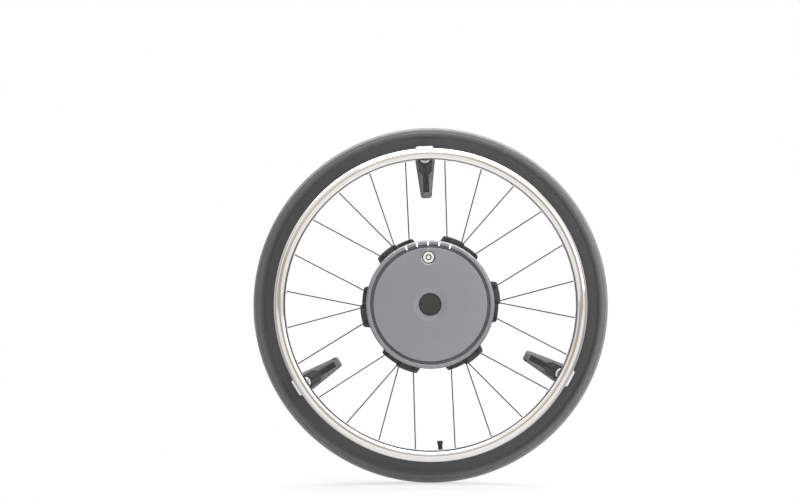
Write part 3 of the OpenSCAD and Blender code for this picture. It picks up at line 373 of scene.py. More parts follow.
def polar_flat(r, degrees, radius):
    """Corner of an outline in the outer face's plane, with its rounding."""
    angle = math.radians(degrees)
    return r * math.cos(angle), r * math.sin(angle), radius


def shifted(up):
    """Place moved up by a distance from the axle, in mm."""
    return Matrix.Translation(at_face(0, up, 0) * MM)


def at_socket():
    """Place of what sits in the charging socket, with the wheel's turn at rest."""
    return about_axle() @ shifted(SOCKET_AT)


def aimed(point, direction):
    """Place that lays a turned form on a point with its outer end along a direction."""
    lean = OUTWARDS.rotation_difference(direction).to_matrix().to_4x4()
    return Matrix.Translation(Vector(point) * MM) @ lean


def rounded(corners, steps=4):
    """Rounds the corners (a, b, radius) of a closed outline into short arcs of (a, b) points."""
    result = []
    count = len(corners)
    for i, (a, b, radius) in enumerate(corners):
        here = Vector((a, b))
        if radius <= 0:
            result.append(here)
            continue
        back = (Vector(corners[i - 1][:2]) - here).normalized()
        ahead = (Vector(corners[(i + 1) % count][:2]) - here).normalized()
        half = back.angle(ahead) / 2
        run = radius / math.tan(half)
        middle = here + (back + ahead).normalized() * (radius / math.sin(half))
        start, end = here + back * run - middle, here + ahead * run - middle
        sweep = start.angle_signed(end)
        for k in range(steps + 1):
            share = -sweep * k / steps
            cosine, sine = math.cos(share), math.sin(share)
            result.append(middle + Vector((
                start.x * cosine - start.y * sine, start.x * sine + start.y * cosine)))
    return [(point.x, point.y) for point in result]


def arc(centre_r, centre_out, radius, angles):
    """Points on an arc of a section, angles in degrees from straight out along the radius."""
    return [
        (centre_r + radius * math.cos(math.radians(a)), centre_out + radius * math.sin(math.radians(a)))
        for a in angles
    ]


def steps_between(start, end, count):
    """Evenly spaced values from start to end, both included."""
    return [start + (end - start) * k / count for k in range(count + 1)]


def dress(obj, slot, smooth=35):
    """Shades a finished piece and gives it the finish of its slot."""
    take(obj)
    bpy.ops.object.shade_smooth_by_angle(angle=math.radians(smooth))
    obj.data.materials.clear()
    obj.data.materials.append(finish(slot))


def hand_over(obj, body, slot, *nodes, smooth=35):
    """Dresses a finished piece, hangs it on its body and lets it stand for its nodes."""
    dress(obj, slot, smooth)
    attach(obj, body)
    if nodes:
        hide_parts(*nodes)
    return obj


# Finishes: shared effects are node groups, and each finish is one material


def node(tree, kind, inputs=None, **values):
    """Adds a shader node, sets its values, and links or sets its inputs."""
    item = tree.nodes.new("ShaderNode" + kind)
    for key, value in values.items():
        setattr(item, key, value)
    for key, value in (inputs or {}).items():
        if isinstance(value, bpy.types.NodeSocket):
            tree.links.new(value, item.inputs[key])
        else:
            item.inputs[key].default_value = value
    return item


def cleared(block):
    """Empty node tree of a new material or world."""
    block.use_nodes = True
    block.node_tree.nodes.clear()
    return block.node_tree


def effect(name, inputs, outputs):
    """Starts a node group with number inputs and outputs, and gives its tree and both rows of sockets."""
    tree = bpy.data.node_groups.new(name, "ShaderNodeTree")
    for key, value in inputs.items():
        socket = tree.interface.new_socket(key, in_out="INPUT", socket_type="NodeSocketFloat")
        socket.default_value = value
    for key in outputs:
        tree.interface.new_socket(key, in_out="OUTPUT", socket_type="NodeSocketFloat")
    return tree, tree.nodes.new("NodeGroupInput").outputs, tree.nodes.new("NodeGroupOutput").inputs


def math_node(tree, operation, a, b=0.0, c=0.0):
    """Output of one sum on sockets or numbers."""
    return node(tree, "Math", {0: a, 1: b, 2: c}, operation=operation).outputs[0]


def vector_value(tree, operation, *vectors):
    """Number that comes of one sum on vectors."""
    return node(tree, "VectorMath", dict(enumerate(vectors)), operation=operation).outputs["Value"]


def ramp(tree, value, low, high, to_low=0.0, to_high=1.0):
    """Output of a clamped map from one range to another."""
    return node(tree, "MapRange", {
        "Value": value, "From Min": low, "From Max": high, "To Min": to_low, "To Max": to_high,
    }).outputs["Result"]


def noise(tree, place, scale, detail, **inputs):
    """Output of a noise texture at a place."""
    return node(tree, "TexNoise", {
        "Vector": place, "Scale": scale, "Detail": detail, **inputs}).outputs["Fac"]


def shaded(tree, tint, value):
    """A colour made lighter or darker."""
    return node(tree, "HueSaturation", {"Color": tint, "Value": value}).outputs["Color"]


def mixed(tree, share, first, second):
    """A mix of two colours."""
    return node(tree, "MixRGB", {"Fac": share, "Color1": first, "Color2": second}).outputs["Color"]


def axle_distance(tree, place):
    """Distance of a place from the axle."""
    flat = node(tree, "Mapping", {"Vector": place, "Scale": (1.0, 0.0, 1.0)}).outputs["Vector"]
    return vector_value(tree, "LENGTH", flat)


def grain_effect():
    """Cloudy shade and fine pitting of a moulded or painted skin."""
    tree, given, wanted = effect("Grain", {"Scale": 400.0, "Shade": 0.1}, ["Shade", "Height"])
    place = node(tree, "TexCoord").outputs["Object"]
    cloud = noise(tree, place, 14.0, 3.0)
    fine = noise(tree, place, given["Scale"], 2.0, Roughness=0.6)
    both = math_node(
        tree, "ADD", math_node(tree, "MULTIPLY", cloud, 0.55), math_node(tree, "MULTIPLY", fine, 0.45))
    swing = math_node(tree, "MULTIPLY", math_node(tree, "SUBTRACT", both, 0.5), given["Shade"])
    tree.links.new(math_node(tree, "MULTIPLY_ADD", swing, 4.0, 1.0), wanted["Shade"])
    tree.links.new(fine, wanted["Height"])


def turned_effect():
    """Fine rings that a lathe or a polishing wheel leaves round the axle."""
    tree, given, wanted = effect("Turned rings", {"Lines": 1500.0}, ["Shade", "Height"])
    place = node(tree, "TexCoord").outputs["Object"]
    depth = node(tree, "SeparateXYZ", {"Vector": place}).outputs["Y"]
    run = math_node(tree, "ADD", axle_distance(tree, place), depth)
    lines = node(tree, "TexNoise", {
        "W": math_node(tree, "MULTIPLY", run, given["Lines"]), "Scale": 1.0, "Detail": 2.0,
    }, noise_dimensions="1D").outputs["Fac"]
    tree.links.new(ramp(tree, lines, 0.25, 0.75, 0.93, 1.07), wanted["Shade"])
    tree.links.new(lines, wanted["Height"])


def dust_and_top_light_effect():
    """Thin dusting on what faces up, broken up by noise, which also paints light onto the tops as if lit from
    above.
    """
    tree, given, wanted = effect("Dust", {"Amount": 0.2}, ["Mask"])
    coordinates = node(tree, "TexCoord").outputs
    up = node(tree, "SeparateXYZ", {"Vector": coordinates["Normal"]}).outputs["Z"]
    patchy = noise(tree, coordinates["Object"], 45.0, 5.0, Roughness=0.65)
    mask = math_node(tree, "MULTIPLY", ramp(tree, up, -0.1, 0.9), ramp(tree, patchy, 0.35, 0.75))
    tree.links.new(math_node(tree, "MULTIPLY", mask, given["Amount"]), wanted["Mask"])


def scuff_effect():
    """Thin handling scratches in two crossing directions."""
    tree, given, wanted = effect("Scuffs", {"Scale": 60.0, "Amount": 0.3}, ["Mask"])
    place = node(tree, "TexCoord").outputs["Object"]
    marks = []
    for lean in (0.5, -0.9):
        laid = node(tree, "Mapping", {
            "Vector": place, "Rotation": (0.3, lean, 0.2), "Scale": (1.0, 1.0, 14.0),
        }).outputs["Vector"]
        marks.append(ramp(tree, noise(tree, laid, given["Scale"], 3.0, Roughness=0.7), 0.64, 0.74))
    both = math_node(tree, "MAXIMUM", *marks)
    tree.links.new(math_node(tree, "MULTIPLY", both, given["Amount"]), wanted["Mask"])


def tread_effect():
    """Slanted cuts across the tyre's crown, and the paler rubber that running leaves there."""
    tree, given, wanted = effect("Tread", {"Cuts": 90.0}, ["Height", "Wear"])
    worn_from, worn_to = (TYRE_R - 17) * MM, (TYRE_R - 3) * MM
    rib_from, rib_to, cut_to, cut_end = 0.0012, 0.0016, 0.0064, 0.0070
    slant = 25.0
    spot = node(tree, "TexCoord").outputs["Object"]
    place = node(tree, "SeparateXYZ", {"Vector": spot}).outputs
    worn = ramp(tree, axle_distance(tree, spot), worn_from, worn_to)
    patchy = ramp(tree, noise(tree, spot, 120.0, 4.0), 0.2, 0.7, 0.75, 1.0)
    tree.links.new(math_node(tree, "MULTIPLY", worn, patchy), wanted["Wear"])
    angle = math_node(tree, "ARCTAN2", place["Z"], place["X"])
    side = math_node(tree, "ABSOLUTE", math_node(tree, "ADD", place["Y"], MID * MM))
    lean = math_node(tree, "MULTIPLY", side, slant)
    count = math_node(tree, "MULTIPLY", angle, given["Cuts"])
    wave = math_node(tree, "SINE", math_node(tree, "MULTIPLY_ADD", lean, given["Cuts"], count))
    cuts = math_node(tree, "MULTIPLY", ramp(tree, wave, 0.75, 0.95), ramp(tree, side, cut_end, cut_to))
    depth = math_node(tree, "MULTIPLY", cuts, ramp(tree, side, rib_from, rib_to))
    tree.links.new(math_node(tree, "SUBTRACT", 1.0, depth), wanted["Height"])


EFFECTS = {
    "Grain": grain_effect, "Turned rings": turned_effect, "Dust": dust_and_top_light_effect,
    "Scuffs": scuff_effect, "Tread": tread_effect,
}

# Pale dust colour on upward faces, which also serves as painted light on their tops
DUST_AND_TOP_LIGHT = (0.42, 0.41, 0.39, 1.0)
WORN = (0.20, 0.20, 0.205, 1.0)

# Roughness, metallic, grain (scale, shade, depth in mm), turned depth in mm, dust with painted top light,
# scuffs, coat
FINISHES = {
    "tyre_rubber": (0.36, 0.0, (700, 0.10, 0.02), 0.0, 0.12, 0.25, 0.0),
    "soft_rubber": (0.65, 0.0, (900, 0.10, 0.03), 0.0, 0.10, 0.10, 0.0),
    "rim_black": (0.38, 0.2, (1500, 0.08, 0.008), 0.008, 0.15, 0.20, 0.0),
    "spoke_black": (0.35, 0.6, (1800, 0.10, 0.004), 0.0, 0.10, 0.10, 0.0),
    "pushrim_steel": (0.07, 1.0, (300, 0.02, 0.0), 0.004, 0.0, 0.15, 0.0),
    "arm_plastic": (0.30, 0.0, (1400, 0.05, 0.004), 0.0, 0.04, 0.04, 0.0),
    "hub_black": (0.45, 0.0, (1600, 0.12, 0.03), 0.0, 0.15, 0.20, 0.0),
    "face_grey": (0.42, 0.35, (2200, 0.05, 0.006), 0.0, 0.05, 0.05, 0.15),
    "trim_silver": (0.40, 0.85, (1800, 0.06, 0.004), 0.004, 0.0, 0.10, 0.0),
    "cap_black": (0.50, 0.0, (800, 0.45, 0.06), 0.0, 0.05, 0.05, 0.0),
    "light_white": (0.35, 0.0, (900, 0.03, 0.004), 0.0, 0.0, 0.0, 0.2),
    "steel": (0.30, 1.0, (900, 0.06, 0.004), 0.010, 0.0, 0.20, 0.0),
    "copper": (0.30, 1.0, (1200, 0.12, 0.010), 0.0, 0.0, 0.0, 0.3),
    "magnet": (0.30, 1.0, (900, 0.08, 0.005), 0.0, 0.0, 0.10, 0.0),
    "core_iron": (0.50, 0.9, (700, 0.15, 0.010), 0.020, 0.0, 0.0, 0.0),
    "board_green": (0.35, 0.0, (800, 0.15, 0.006), 0.0, 0.0, 0.0, 0.3),
    "part_black": (0.50, 0.0, (1200, 0.12, 0.015), 0.0, 0.0, 0.0, 0.0),
    "cell_wrap": (0.30, 0.0, (900, 0.08, 0.006), 0.0, 0.0, 0.0, 0.2),
    "tray_plastic": (0.50, 0.0, (1200, 0.10, 0.020), 0.0, 0.0, 0.10, 0.0),
    "contact_silver": (0.48, 0.8, (900, 0.04, 0.002), 0.0, 0.0, 0.15, 0.0),
    "tape_cloth": (0.85, 0.0, (1500, 0.20, 0.080), 0.0, 0.0, 0.0, 0.0),
}
# Painted glow: emission that keeps the light bars and the mark beside them white
PAINTED_GLOW = {"light_white": 0.70}

# What grain, scuffs and dust with its painted top light do to a finish, and the depth of the tyre's cuts in
# mm
GLOSS_SWING = 0.04
SCUFF_ROUGH, SCUFF_LIGHT = 0.35, 1.45
DUST_ROUGH = 0.30
TREAD_DEPTH = 0.6


def placed(tree, name, **inputs):
    """Places one effect in a material, with its own values, and gives its outputs."""
    if name not in bpy.data.node_groups:
        EFFECTS[name]()
    return node(tree, "Group", inputs, node_tree=bpy.data.node_groups[name]).outputs


def relief(tree, height, depth, before=None):
    """Normal of a bump of a given depth in mm, on top of another bump."""
    inputs = {"Height": height, "Distance": depth * MM, "Strength": 1.0}
    if before is not None:
        inputs["Normal"] = before
    return node(tree, "Bump", inputs).outputs["Normal"]


def finish(key):
    """Material of one slot, made the first time it is asked for."""
    name = key + "_finish"
    if name in bpy.data.materials:
        return bpy.data.materials[name]
    rough, metal, (scale, shade, depth), rings, dust_and_top_light, scuffs, coat = FINISHES[key]
    tint = tuple(getattr(bpy.context.scene.wheel_colours, key)) + (1.0,)
    material = bpy.data.materials.new(name)
    tree = cleared(material)
    grain = placed(tree, "Grain", Scale=scale, Shade=shade)
    skin = shaded(tree, tint, grain["Shade"])
    gloss = ramp(tree, grain["Shade"], 0.9, 1.1, rough + GLOSS_SWING, rough - GLOSS_SWING)
    normal = relief(tree, grain["Height"], depth) if depth else None
    if rings:
        marks = placed(tree, "Turned rings")
        skin = shaded(tree, skin, marks["Shade"])
        normal = relief(tree, marks["Height"], rings, normal)
    if key == "tyre_rubber":
        tread = placed(tree, "Tread")
        normal = relief(tree, tread["Height"], TREAD_DEPTH, normal)
        skin = mixed(tree, tread["Wear"], skin, WORN)
    if scuffs:
        mask = placed(tree, "Scuffs", Amount=scuffs)["Mask"]
        gloss = math_node(tree, "MULTIPLY_ADD", mask, SCUFF_ROUGH, gloss)
        skin = shaded(tree, skin, ramp(tree, mask, 0.0, 1.0, 1.0, SCUFF_LIGHT))
    # Dust on upward faces, also painted top light: the tops come out paler as if lit from above
    if dust_and_top_light:
        mask = placed(tree, "Dust", Amount=dust_and_top_light)["Mask"]
        skin = mixed(tree, mask, skin, DUST_AND_TOP_LIGHT)
        gloss = math_node(tree, "MULTIPLY_ADD", mask, DUST_ROUGH, gloss)
    shader = node(tree, "BsdfPrincipled", {
        "Base Color": skin, "Roughness": gloss, "Metallic": metal, "Coat Weight": coat,
    })
    if normal is not None:
        tree.links.new(normal, shader.inputs["Normal"])
    # Painted glow of the light bars and the mark
    if key in PAINTED_GLOW:
        shader.inputs["Emission Color"].default_value = tint
        shader.inputs["Emission Strength"].default_value = PAINTED_GLOW[key]
    node(tree, "OutputMaterial", {"Surface": shader.outputs["BSDF"]})
    return material


# Pieces


class WHEEL_OT_tyre(bpy.types.Operator):
    """Turns the tyre with its beads, its hollow and the moulded lines of its sides."""

    bl_idname = "wheel.tyre"
    bl_label = "Tyre"

    def execute(self, context):
        crown, line = size("tyre_crown"), size("tyre_line")
        crown_at = TYRE_R - crown
        bead, edge = RIM_R - 5.95, RIM_R + 0.05
        wall_from = math.degrees(math.acos((edge - crown_at) / crown))
        lines = [side * at for at in (60, 66, 108) for side in (-1, 1)]
        foot, brink, room = 1.2, 2.0, 2.4
        bends = [
            (angle, 0) for angle in steps_between(-wall_from, wall_from, 72)
            if all(abs(angle - at) > room for at in lines)
        ]
        for at in lines:
            bends += [(at - brink, 0), (at - foot, line), (at + foot, line), (at + brink, 0)]
        skin = []
        for angle, depth in sorted(bends):
            skin += arc(crown_at, MID, crown - depth, [angle])
        hollow, hollow_at = 9.15, crown_at - 2
        leg_out, leg_in = 9.15, 5.25
        mouth = 180 - math.degrees(math.asin(leg_in / hollow))
        inside = arc(hollow_at, MID, hollow, steps_between(mouth, -mouth, 36))
        section = skin + [(edge, MID + leg_out), (bead, MID + leg_out), (bead, MID + leg_in)]
        section += inside + [(bead, MID - leg_in), (bead, MID - leg_out), (edge, MID - leg_out)]
        hand_over(turn("tyre_skin", section, 240), "wheel", "tyre_rubber", "tyre")
        return {"FINISHED"}


class WHEEL_OT_rim(bpy.types.Operator):
    """Turns the rim with its hollow and well, and its two lips."""

    bl_idname = "wheel.rim"
    bl_label = "Rim"

    def execute(self, context):
        half = (RIM_FRONT - RIM_BACK) / 2
        bead, well, lip = RIM_R - 6, RIM_R - 9.7, RIM_R - size("rim_lip")
        channel, dip, slope = half - 1.8, half - 4.5, 5
        corners = [
            (lip, half, 0.3), (RIM_INNER + slope, half, 1.5), (RIM_INNER, half - slope, 2.0),
            (RIM_INNER, slope - half, 2.0), (RIM_INNER + slope, -half, 1.5), (lip, -half, 0.3),
            (lip, -channel, 0), (bead, -channel, 0.4), (bead, -dip, 0.6), (well, -dip, 0.6),
            (well, dip, 0.6), (bead, dip, 0.6), (bead, channel, 0.4), (lip, channel, 0),
        ]
        section = [(r, MID + out) for r, out in rounded(corners)]
        hand_over(turn("rim_hoop", section, 240), "wheel", "rim_black", "rim")
        lips = []
        for side in (-1, 1):
            edge = rounded([
                (lip, side * half, 0.2), (RIM_R, side * half, 0.5),
                (RIM_R, side * channel, 0.5), (lip, side * channel, 0.2),
            ])
            lips.append(turn("lip", [(r, MID + out) for r, out in edge], 240))
        hand_over(join("rim_lips", lips), "wheel", "rim_black")
        return {"FINISHED"}


# Spokes of one sector: hub and rim angles in degrees, and where the bend and the head lie outwards
SPOKE_SETS = (
    ("front", ((0, -7.5), (13, 22.5)), 87.7, 92.15),
    ("rear", ((0, 7.5), (-13, -22.5)), 30.4, 25.95),
)
# Their turned ends: radius, distance outwards, rounding
SPOKE_HEAD = [(0, 0, 0), (2.4, 0, 0.2), (2.4, 1.2, 0.7), (0, 1.2, 0)]
NIPPLE = [(0, -2.0, 0), (2.0, -2.0, 0), (2.0, 7.2, 0.3), (1.55, 9.0, 0.2), (0, 9.0, 0)]
EYELET = [(2.0, -0.5, 0), (3.6, -0.5, 0.2), (3.2, 0.45, 0.3), (2.0, 0.45, 0)]


class WHEEL_OT_spokes(bpy.types.Operator):
    """Draws the spokes of one sector with their heads, nipples and eyelets, and copies them round the hub."""

    bl_idname = "wheel.spokes"
    bl_label = "Spokes and nipples"

    def execute(self, context):
        bend = 1.6
        corner, leave = 0.45 * bend, 1.2 * bend
        into_head, into_rim = 0.2, 2
        nipple_places, eyelet_places = [], []
        for kind, pairs, elbow, head in SPOKE_SETS:
            side = 1 if head > elbow else -1
            wires, head_places = [], []
            for at_hub, at_rim in pairs:
                foot, end = polar(SPOKE_CIRCLE, at_hub, elbow), polar(RIM_INNER, at_rim, MID)
                run = (end - foot).normalized()
                path = [
                    polar(SPOKE_CIRCLE, at_hub, head + side * into_head),
                    polar(SPOKE_CIRCLE, at_hub, elbow + side * bend),
                    foot + run * corner + OUTWARDS * side * corner,
                    foot + run * leave,
                    end + run * into_rim,
                ]
                wires.append(wire("spoke", path, size("spoke_radius")))
                head_places.append(aimed(polar(SPOKE_CIRCLE, at_hub, head), OUTWARDS * side))
                nipple_places.append(aimed(end, -run))
                eyelet_places.append(aimed(end, Vector((-end.x, 0, -end.z)).normalized()))
            heads = copies(turn("head", rounded(SPOKE_HEAD), 20), head_places)
            sector = join(kind + "_spoke_wires", wires + [heads])
            hand_over(copies(sector, around(SECTORS)), "wheel", "spoke_black", kind + "_spokes")
        nipples = copies(turn("nipple", rounded(NIPPLE), 16), nipple_places)
        eyelets = copies(turn("eyelet", rounded(EYELET), 20), eyelet_places)
        sector = join("spoke_nipple_set", [nipples, eyelets])
        hand_over(copies(sector, around(SECTORS)), "wheel", "spoke_black", "spoke_nipples")
        return {"FINISHED"}


# Lobes of the front and rear spokes: back face, slant, and where the pockets for the heads start
LOBES = ((89.1, 1, 92.15), (24.0, -1, 23.5))


class WHEEL_OT_drum(bpy.types.Operator):
    """Turns the hub drum and joins on the lobes that hold the spoke heads, with their pockets."""

    bl_idname = "wheel.drum"
    bl_label = "Hub drum"

    def execute(self, context):
        back, front = 18.0, TRIM_BACK
        outer, bore = 103.0, 98.0
        drum = turn("drum_shell", rounded([
            (bore, back, 0), (outer, back, 0.6), (outer, front, 0.3), (bore, front, 0),
        ]), 192)
        foot, tip, thick = 101, 115, 5
        pocket_r, pocket_deep = 3.2, 2.5
        outline = rounded([
            polar_flat(foot, -5, 0), polar_flat(tip, -1.2, 3),
            *(polar_flat(tip, degrees, 0) for degrees in (2, 5, 8, 11, 14)),
            polar_flat(tip, 16.7, 3), polar_flat(foot, 20.5, 0),
        ], 5)
        for (_, pairs, _, _), (start, slant, pocket_at) in zip(SPOKE_SETS, LOBES):
            lobe = prism("lobe", [at_face(x, slant * up, start) for x, up in outline], (0, -thick, 0))
            soften(lobe, size("lobe_edge"), 3, 40)
            for at_hub, _ in pairs:
                place = aimed(polar(SPOKE_CIRCLE, at_hub, pocket_at), OUTWARDS)
                combine(lobe, moved(rod("pocket", pocket_r, 0, pocket_deep, 24), place), "DIFFERENCE")
            drum = combine(drum, copies(lobe, around_unturned(SECTORS)), "UNION")
        moved(drum, about_axle())
        hand_over(drum, "wheel", "hub_black", "hub_drum")
        return {"FINISHED"}


class WHEEL_OT_face(bpy.types.Operator):
    """Turns the hub's face with its dish, cuts the socket's hole, and adds the bezel and the gasket."""

    bl_idname = "wheel.face"
    bl_label = "Hub face"

    def execute(self, context):
        bore, back, seat, edge = 18.5, 103.2, 104.6, 107.1
        dish, brow, shoulder = 22, 27.5, 60
        dish_deep, bore_deep, rise = 1.35, 1.6, 1.5
        face = turn("face_shell", rounded([
            (bore, back, 0), (FACE_R, seat, 0), (FACE_R, edge, size("face_edge")),
            (shoulder, edge + rise, 60), (brow, FACE_FRONT, 3), (dish, FACE_FRONT - dish_deep, 3),
            (bore, FACE_FRONT - bore_deep, 0),
        ], 6), 192)
        hole_r, hole_from, hole_to = 12.6, 99, 112
        hole = moved(rod("hole", hole_r, hole_from, hole_to, 64), shifted(SOCKET_AT))
        combine(face, hole, "DIFFERENCE")
        hand_over(moved(face, about_axle()), "wheel", "face_grey", "front_cover", smooth=25)
        inner, outer, lip, foot = 10.2, 12.55, 13.6, 104.2
        bezel = turn("socket_bezel", rounded([
            (inner, foot, 0), (outer, foot, 0), (outer, 107.3, 0), (lip, 107.5, 0.2),
            (lip - 0.3, 108.3, 0.4), (12.5, 108.4, 0.4), (10.4, 106.7, 0.5), (inner, 106.2, 0),
        ]), 64)
        hand_over(moved(bezel, at_socket()), "wheel", "trim_silver")
        inner, outer, back, lips = 93.1, 97.4, 103.65, 104.5
        valley_r, valley = 95.2, 104.2
        gasket = turn("face_gasket", rounded([
            (inner, back, 0), (outer, back, 0), (outer, lips, 0.3), (valley_r, valley, 0),
            (inner, lips, 0.3),
        ]), 160)
        hand_over(gasket, "wheel", "tray_plastic", "cover_seal")
        return {"FINISHED"}


class WHEEL_OT_back(bpy.types.Operator):
    """Turns the back cover with its two rings, adds the ribs between them and sinks the screw wells."""

    bl_idname = "wheel.back"
    bl_label = "Back cover"

    def execute(self, context):
        bore, seat, seat_outer, spigot_bore, spigot_r = 17.6, 21.05, 25, 94, 97.85
        back, foot, spigot = 14.0, 18.0, 21.0
        near, far, base, top = 32, 95, 3.6, 2
        cover = turn("back_shell", rounded([
            (bore, back, 0.4), (near - base, back, 0.8), (near - top, BACK_RIBS, 0.6),
            (near + top, BACK_RIBS, 0.6), (near + base, back, 0.8), (far - base, back, 0.8),
            (far - top, BACK_RIBS, 0.6), (far + top, BACK_RIBS, 0.6), (97.9, back, 0.5),
            (BACK_R, back, 1.2), (BACK_R, foot, 0.2), (spigot_r, foot, 0), (spigot_r, spigot, 0.4),
            (spigot_bore, spigot, 0.4), (spigot_bore, foot, 0), (seat_outer, foot, 0),
            (seat_outer, BACK_INNER, 0.4), (seat, BACK_INNER, 0.4), (seat, foot, 0), (bore, foot, 0),
        ]), 192)
        screws, screw_circle, ribs = 8, 100.5, 12
        well_r, well_from, well_to = 2.05, 13, 15.5
        screw_at = Matrix.Translation((screw_circle * MM, 0, 0))
        well = rod("well", well_r, well_from, well_to, 20)
        wells = copies(well, [place @ screw_at for place in around_unturned(screws)])
        combine(cover, wells, "DIFFERENCE")
        rib_from, rib_length, rib_back = 33.4, 60.2, back + 0.1
        wide, narrow = 2.7, 1.9
        rib = prism("rib", [at_face(rib_from, up, out) for up, out in (
            (-wide, rib_back), (-narrow, BACK_RIBS), (narrow, BACK_RIBS), (wide, rib_back),
        )], (rib_length, 0, 0))
        soften(rib, 0.5, 2)
        whole = join("back_shell", [cover, copies(rib, around_unturned(ribs))])
        moved(whole, about_axle())
        hand_over(whole, "wheel", "hub_black", "back_cover")
        return {"FINISHED"}


class WHEEL_OT_trim(bpy.types.Operator):
    """Turns the trim ring, sets the light bars into it, and the mark into the face beside them."""

    bl_idname = "wheel.trim"
    bl_label = "Trim ring and lights"

    def execute(self, context):
        bore, seat, ledge = 98, 97.5, 91.6
        ledge_back, ledge_front, edge = 100.1, 103.6, 103.9
        ring = turn("trim_band", rounded([
            (bore, TRIM_BACK, 0), (TRIM_R, TRIM_BACK, 0.4), (TRIM_R, edge, 1.5),
            (102.9, TRIM_FRONT, 1.8), (98.9, TRIM_FRONT, 0.8), (seat, 105.2, 0.3),
            (seat, ledge_front, 0), (ledge, ledge_front, 0), (ledge, ledge_back, 0), (bore, ledge_back, 0),
        ]), 192)
        hand_over(ring, "wheel", "trim_silver", "trim_ring")
        wide, low, high = size("light_width") / 2, 96.3, 102.8
        narrow = 0.6 * wide
        bar_back, bar_deep, pitch = 103.9, 3.15, math.radians(10.5)
        bar = plate("light_bars", [
            (-narrow, low, 0.6), (narrow, low, 0.6), (wide, high, 0.5), (-wide, high, 0.5),
        ], bar_back, bar_deep, 3)
        soften(bar, 0.3, 2, 40)
        bars = copies(bar, [about_axle(pitch * k) for k in (-2, -1, 0, 1, 2)])
        half, low, high = 1, 88.9, 91.1
        mark_back, mark_deep = 106.2, 1.35
        mark = plate("mark", [
            (-half, low, 0.3), (half, low, 0.3), (half, high, 0.3), (-half, high, 0.3),
        ], mark_back, mark_deep, 3)
        # The mark shares the bars' finish and so their painted glow
        lights = join("light_bars", [bars, moved(mark, about_axle())])
        hand_over(lights, "wheel", "light_white", "light_windows")
        return {"FINISHED"}


class WHEEL_OT_cap(bpy.types.Operator):
    """Turns the release cap with its skirt and its slightly hollow top."""

    bl_idname = "wheel.cap"
    bl_label = "Release cap"

    def execute(self, context):
        core, core_back, brim, dish = 16, 103.7, 15.5, 14.8
        cap = turn("cap_shell", rounded([
            (0, core_back, 0), (core, core_back, 0), (core, CAP_BACK, 0), (CAP_R, CAP_BACK, 0.3),
            (CAP_R, CAP_FRONT, 0.9), (brim, CAP_FRONT, 0.6), (dish, CAP_FRONT - 0.25, 0.6),
            (0, CAP_FRONT - 0.3, 0),
        ]), 96)
        hand_over(cap, "release", "cap_black", "release_cap")
        return {"FINISHED"}


class WHEEL_OT_socket(bpy.types.Operator):
    """Turns the charging socket's cup, its button ring and the contact ring."""

    bl_idname = "wheel.socket"
    bl_label = "Charging socket"

    def execute(self, context):
        pin_hole, wall, outer = 1.6, 9.4, 10.15
        back, floor, ledge, mouth = 99, 101.5, 104.7, 106.4
        cup = turn("socket_cup", rounded([
            (pin_hole, back, 0), (outer, back, 0), (outer, mouth, 0.2), (wall, mouth, 0.2),
            (wall, floor, 0), (pin_hole, floor, 0),
        ]), 64)
        hand_over(moved(cup, at_socket()), "wheel", "cap_black", "socket_body")
        inner, outer = 5, 9
        button = turn("button_ring", rounded([
            (inner, ledge, 0), (outer, ledge, 0), (outer, 107.7, 0.7), (inner, 107.5, 0.3),
        ]), 64)
        hand_over(moved(button, at_socket()), "button", "contact_silver", "power_button")
        inner, outer, front = 3.1, 4.95, 107.3
        ring = turn("contact_sleeve", rounded([
            (inner, ledge, 0), (outer, ledge, 0), (outer, front, 0.2), (inner, front, 0.2),
        ]), 48)
        hand_over(moved(ring, at_socket()), "button", "cap_black", "contact_ring")
        return {"FINISHED"}


class WHEEL_OT_springs(bpy.types.Operator):
    """Winds the release spring and turns the rubber dome under the button."""

    bl_idname = "wheel.springs"
    bl_label = "Release spring and dome"

    def execute(self, context):
        low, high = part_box("release_spring")
        thick = 0.6
        inner, outer = -high.y / MM + thick, -low.y / MM - thick
        coil_r = (high.x - low.x) / 2 / MM - thick
        turns, steps = 3, 20
        path = []
        for k in range(turns * steps + 1):
            angle, share = math.tau * k / steps, k / (turns * steps)
            path.append(at_face(
                coil_r * math.cos(angle), coil_r * math.sin(angle), inner + (outer - inner) * share))
        coil = hand_over(wire("spring_coil", path, thick), "axle_unit", "steel", "release_spring")
        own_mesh(coil)
        bore, foot, top = 1.9, 101.55, 104.6
        dome = turn("rubber_dome", rounded([
            (bore, foot, 0), (4.0, foot, 0.2), (3.9, 102.3, 0.3), (2.7, 103.6, 0.5), (2.6, top, 0.2),
            (bore, top, 0),
        ]), 40)
        hand_over(moved(dome, at_socket()), "wheel", "soft_rubber", "button_dome")
        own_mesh(dome)
        return {"FINISHED"}


# Stations along an arm: distance from the axle, half width, back, front
ARM_STATIONS = (
    (176.0, 6.2, 72.5, 80.6), (177.0, 7.9, 71.4, 82.2), (179.0, 9.0, 71.0, 83.4),
    (182.5, 9.5, 70.9, 84.0), (216.0, 13.6, 69.0, 84.0), (233.0, 15.6, 50.0, 84.0),
    (252.3, 18.0, 50.0, 84.0),
)


def arm_section(at, half, back, front):
    """Cross-section of an arm: a flat crest with a slope down to each side."""
    slope = min(size("arm_slope"), 0.5 * half)
    drop = 0.9 * slope
    return [at_face(x, at, out) for x, out in (
        (-half, back), (half, back), (half, front - drop), (half - slope, front), (slope - half, front),
        (-half, front - drop),
    )]


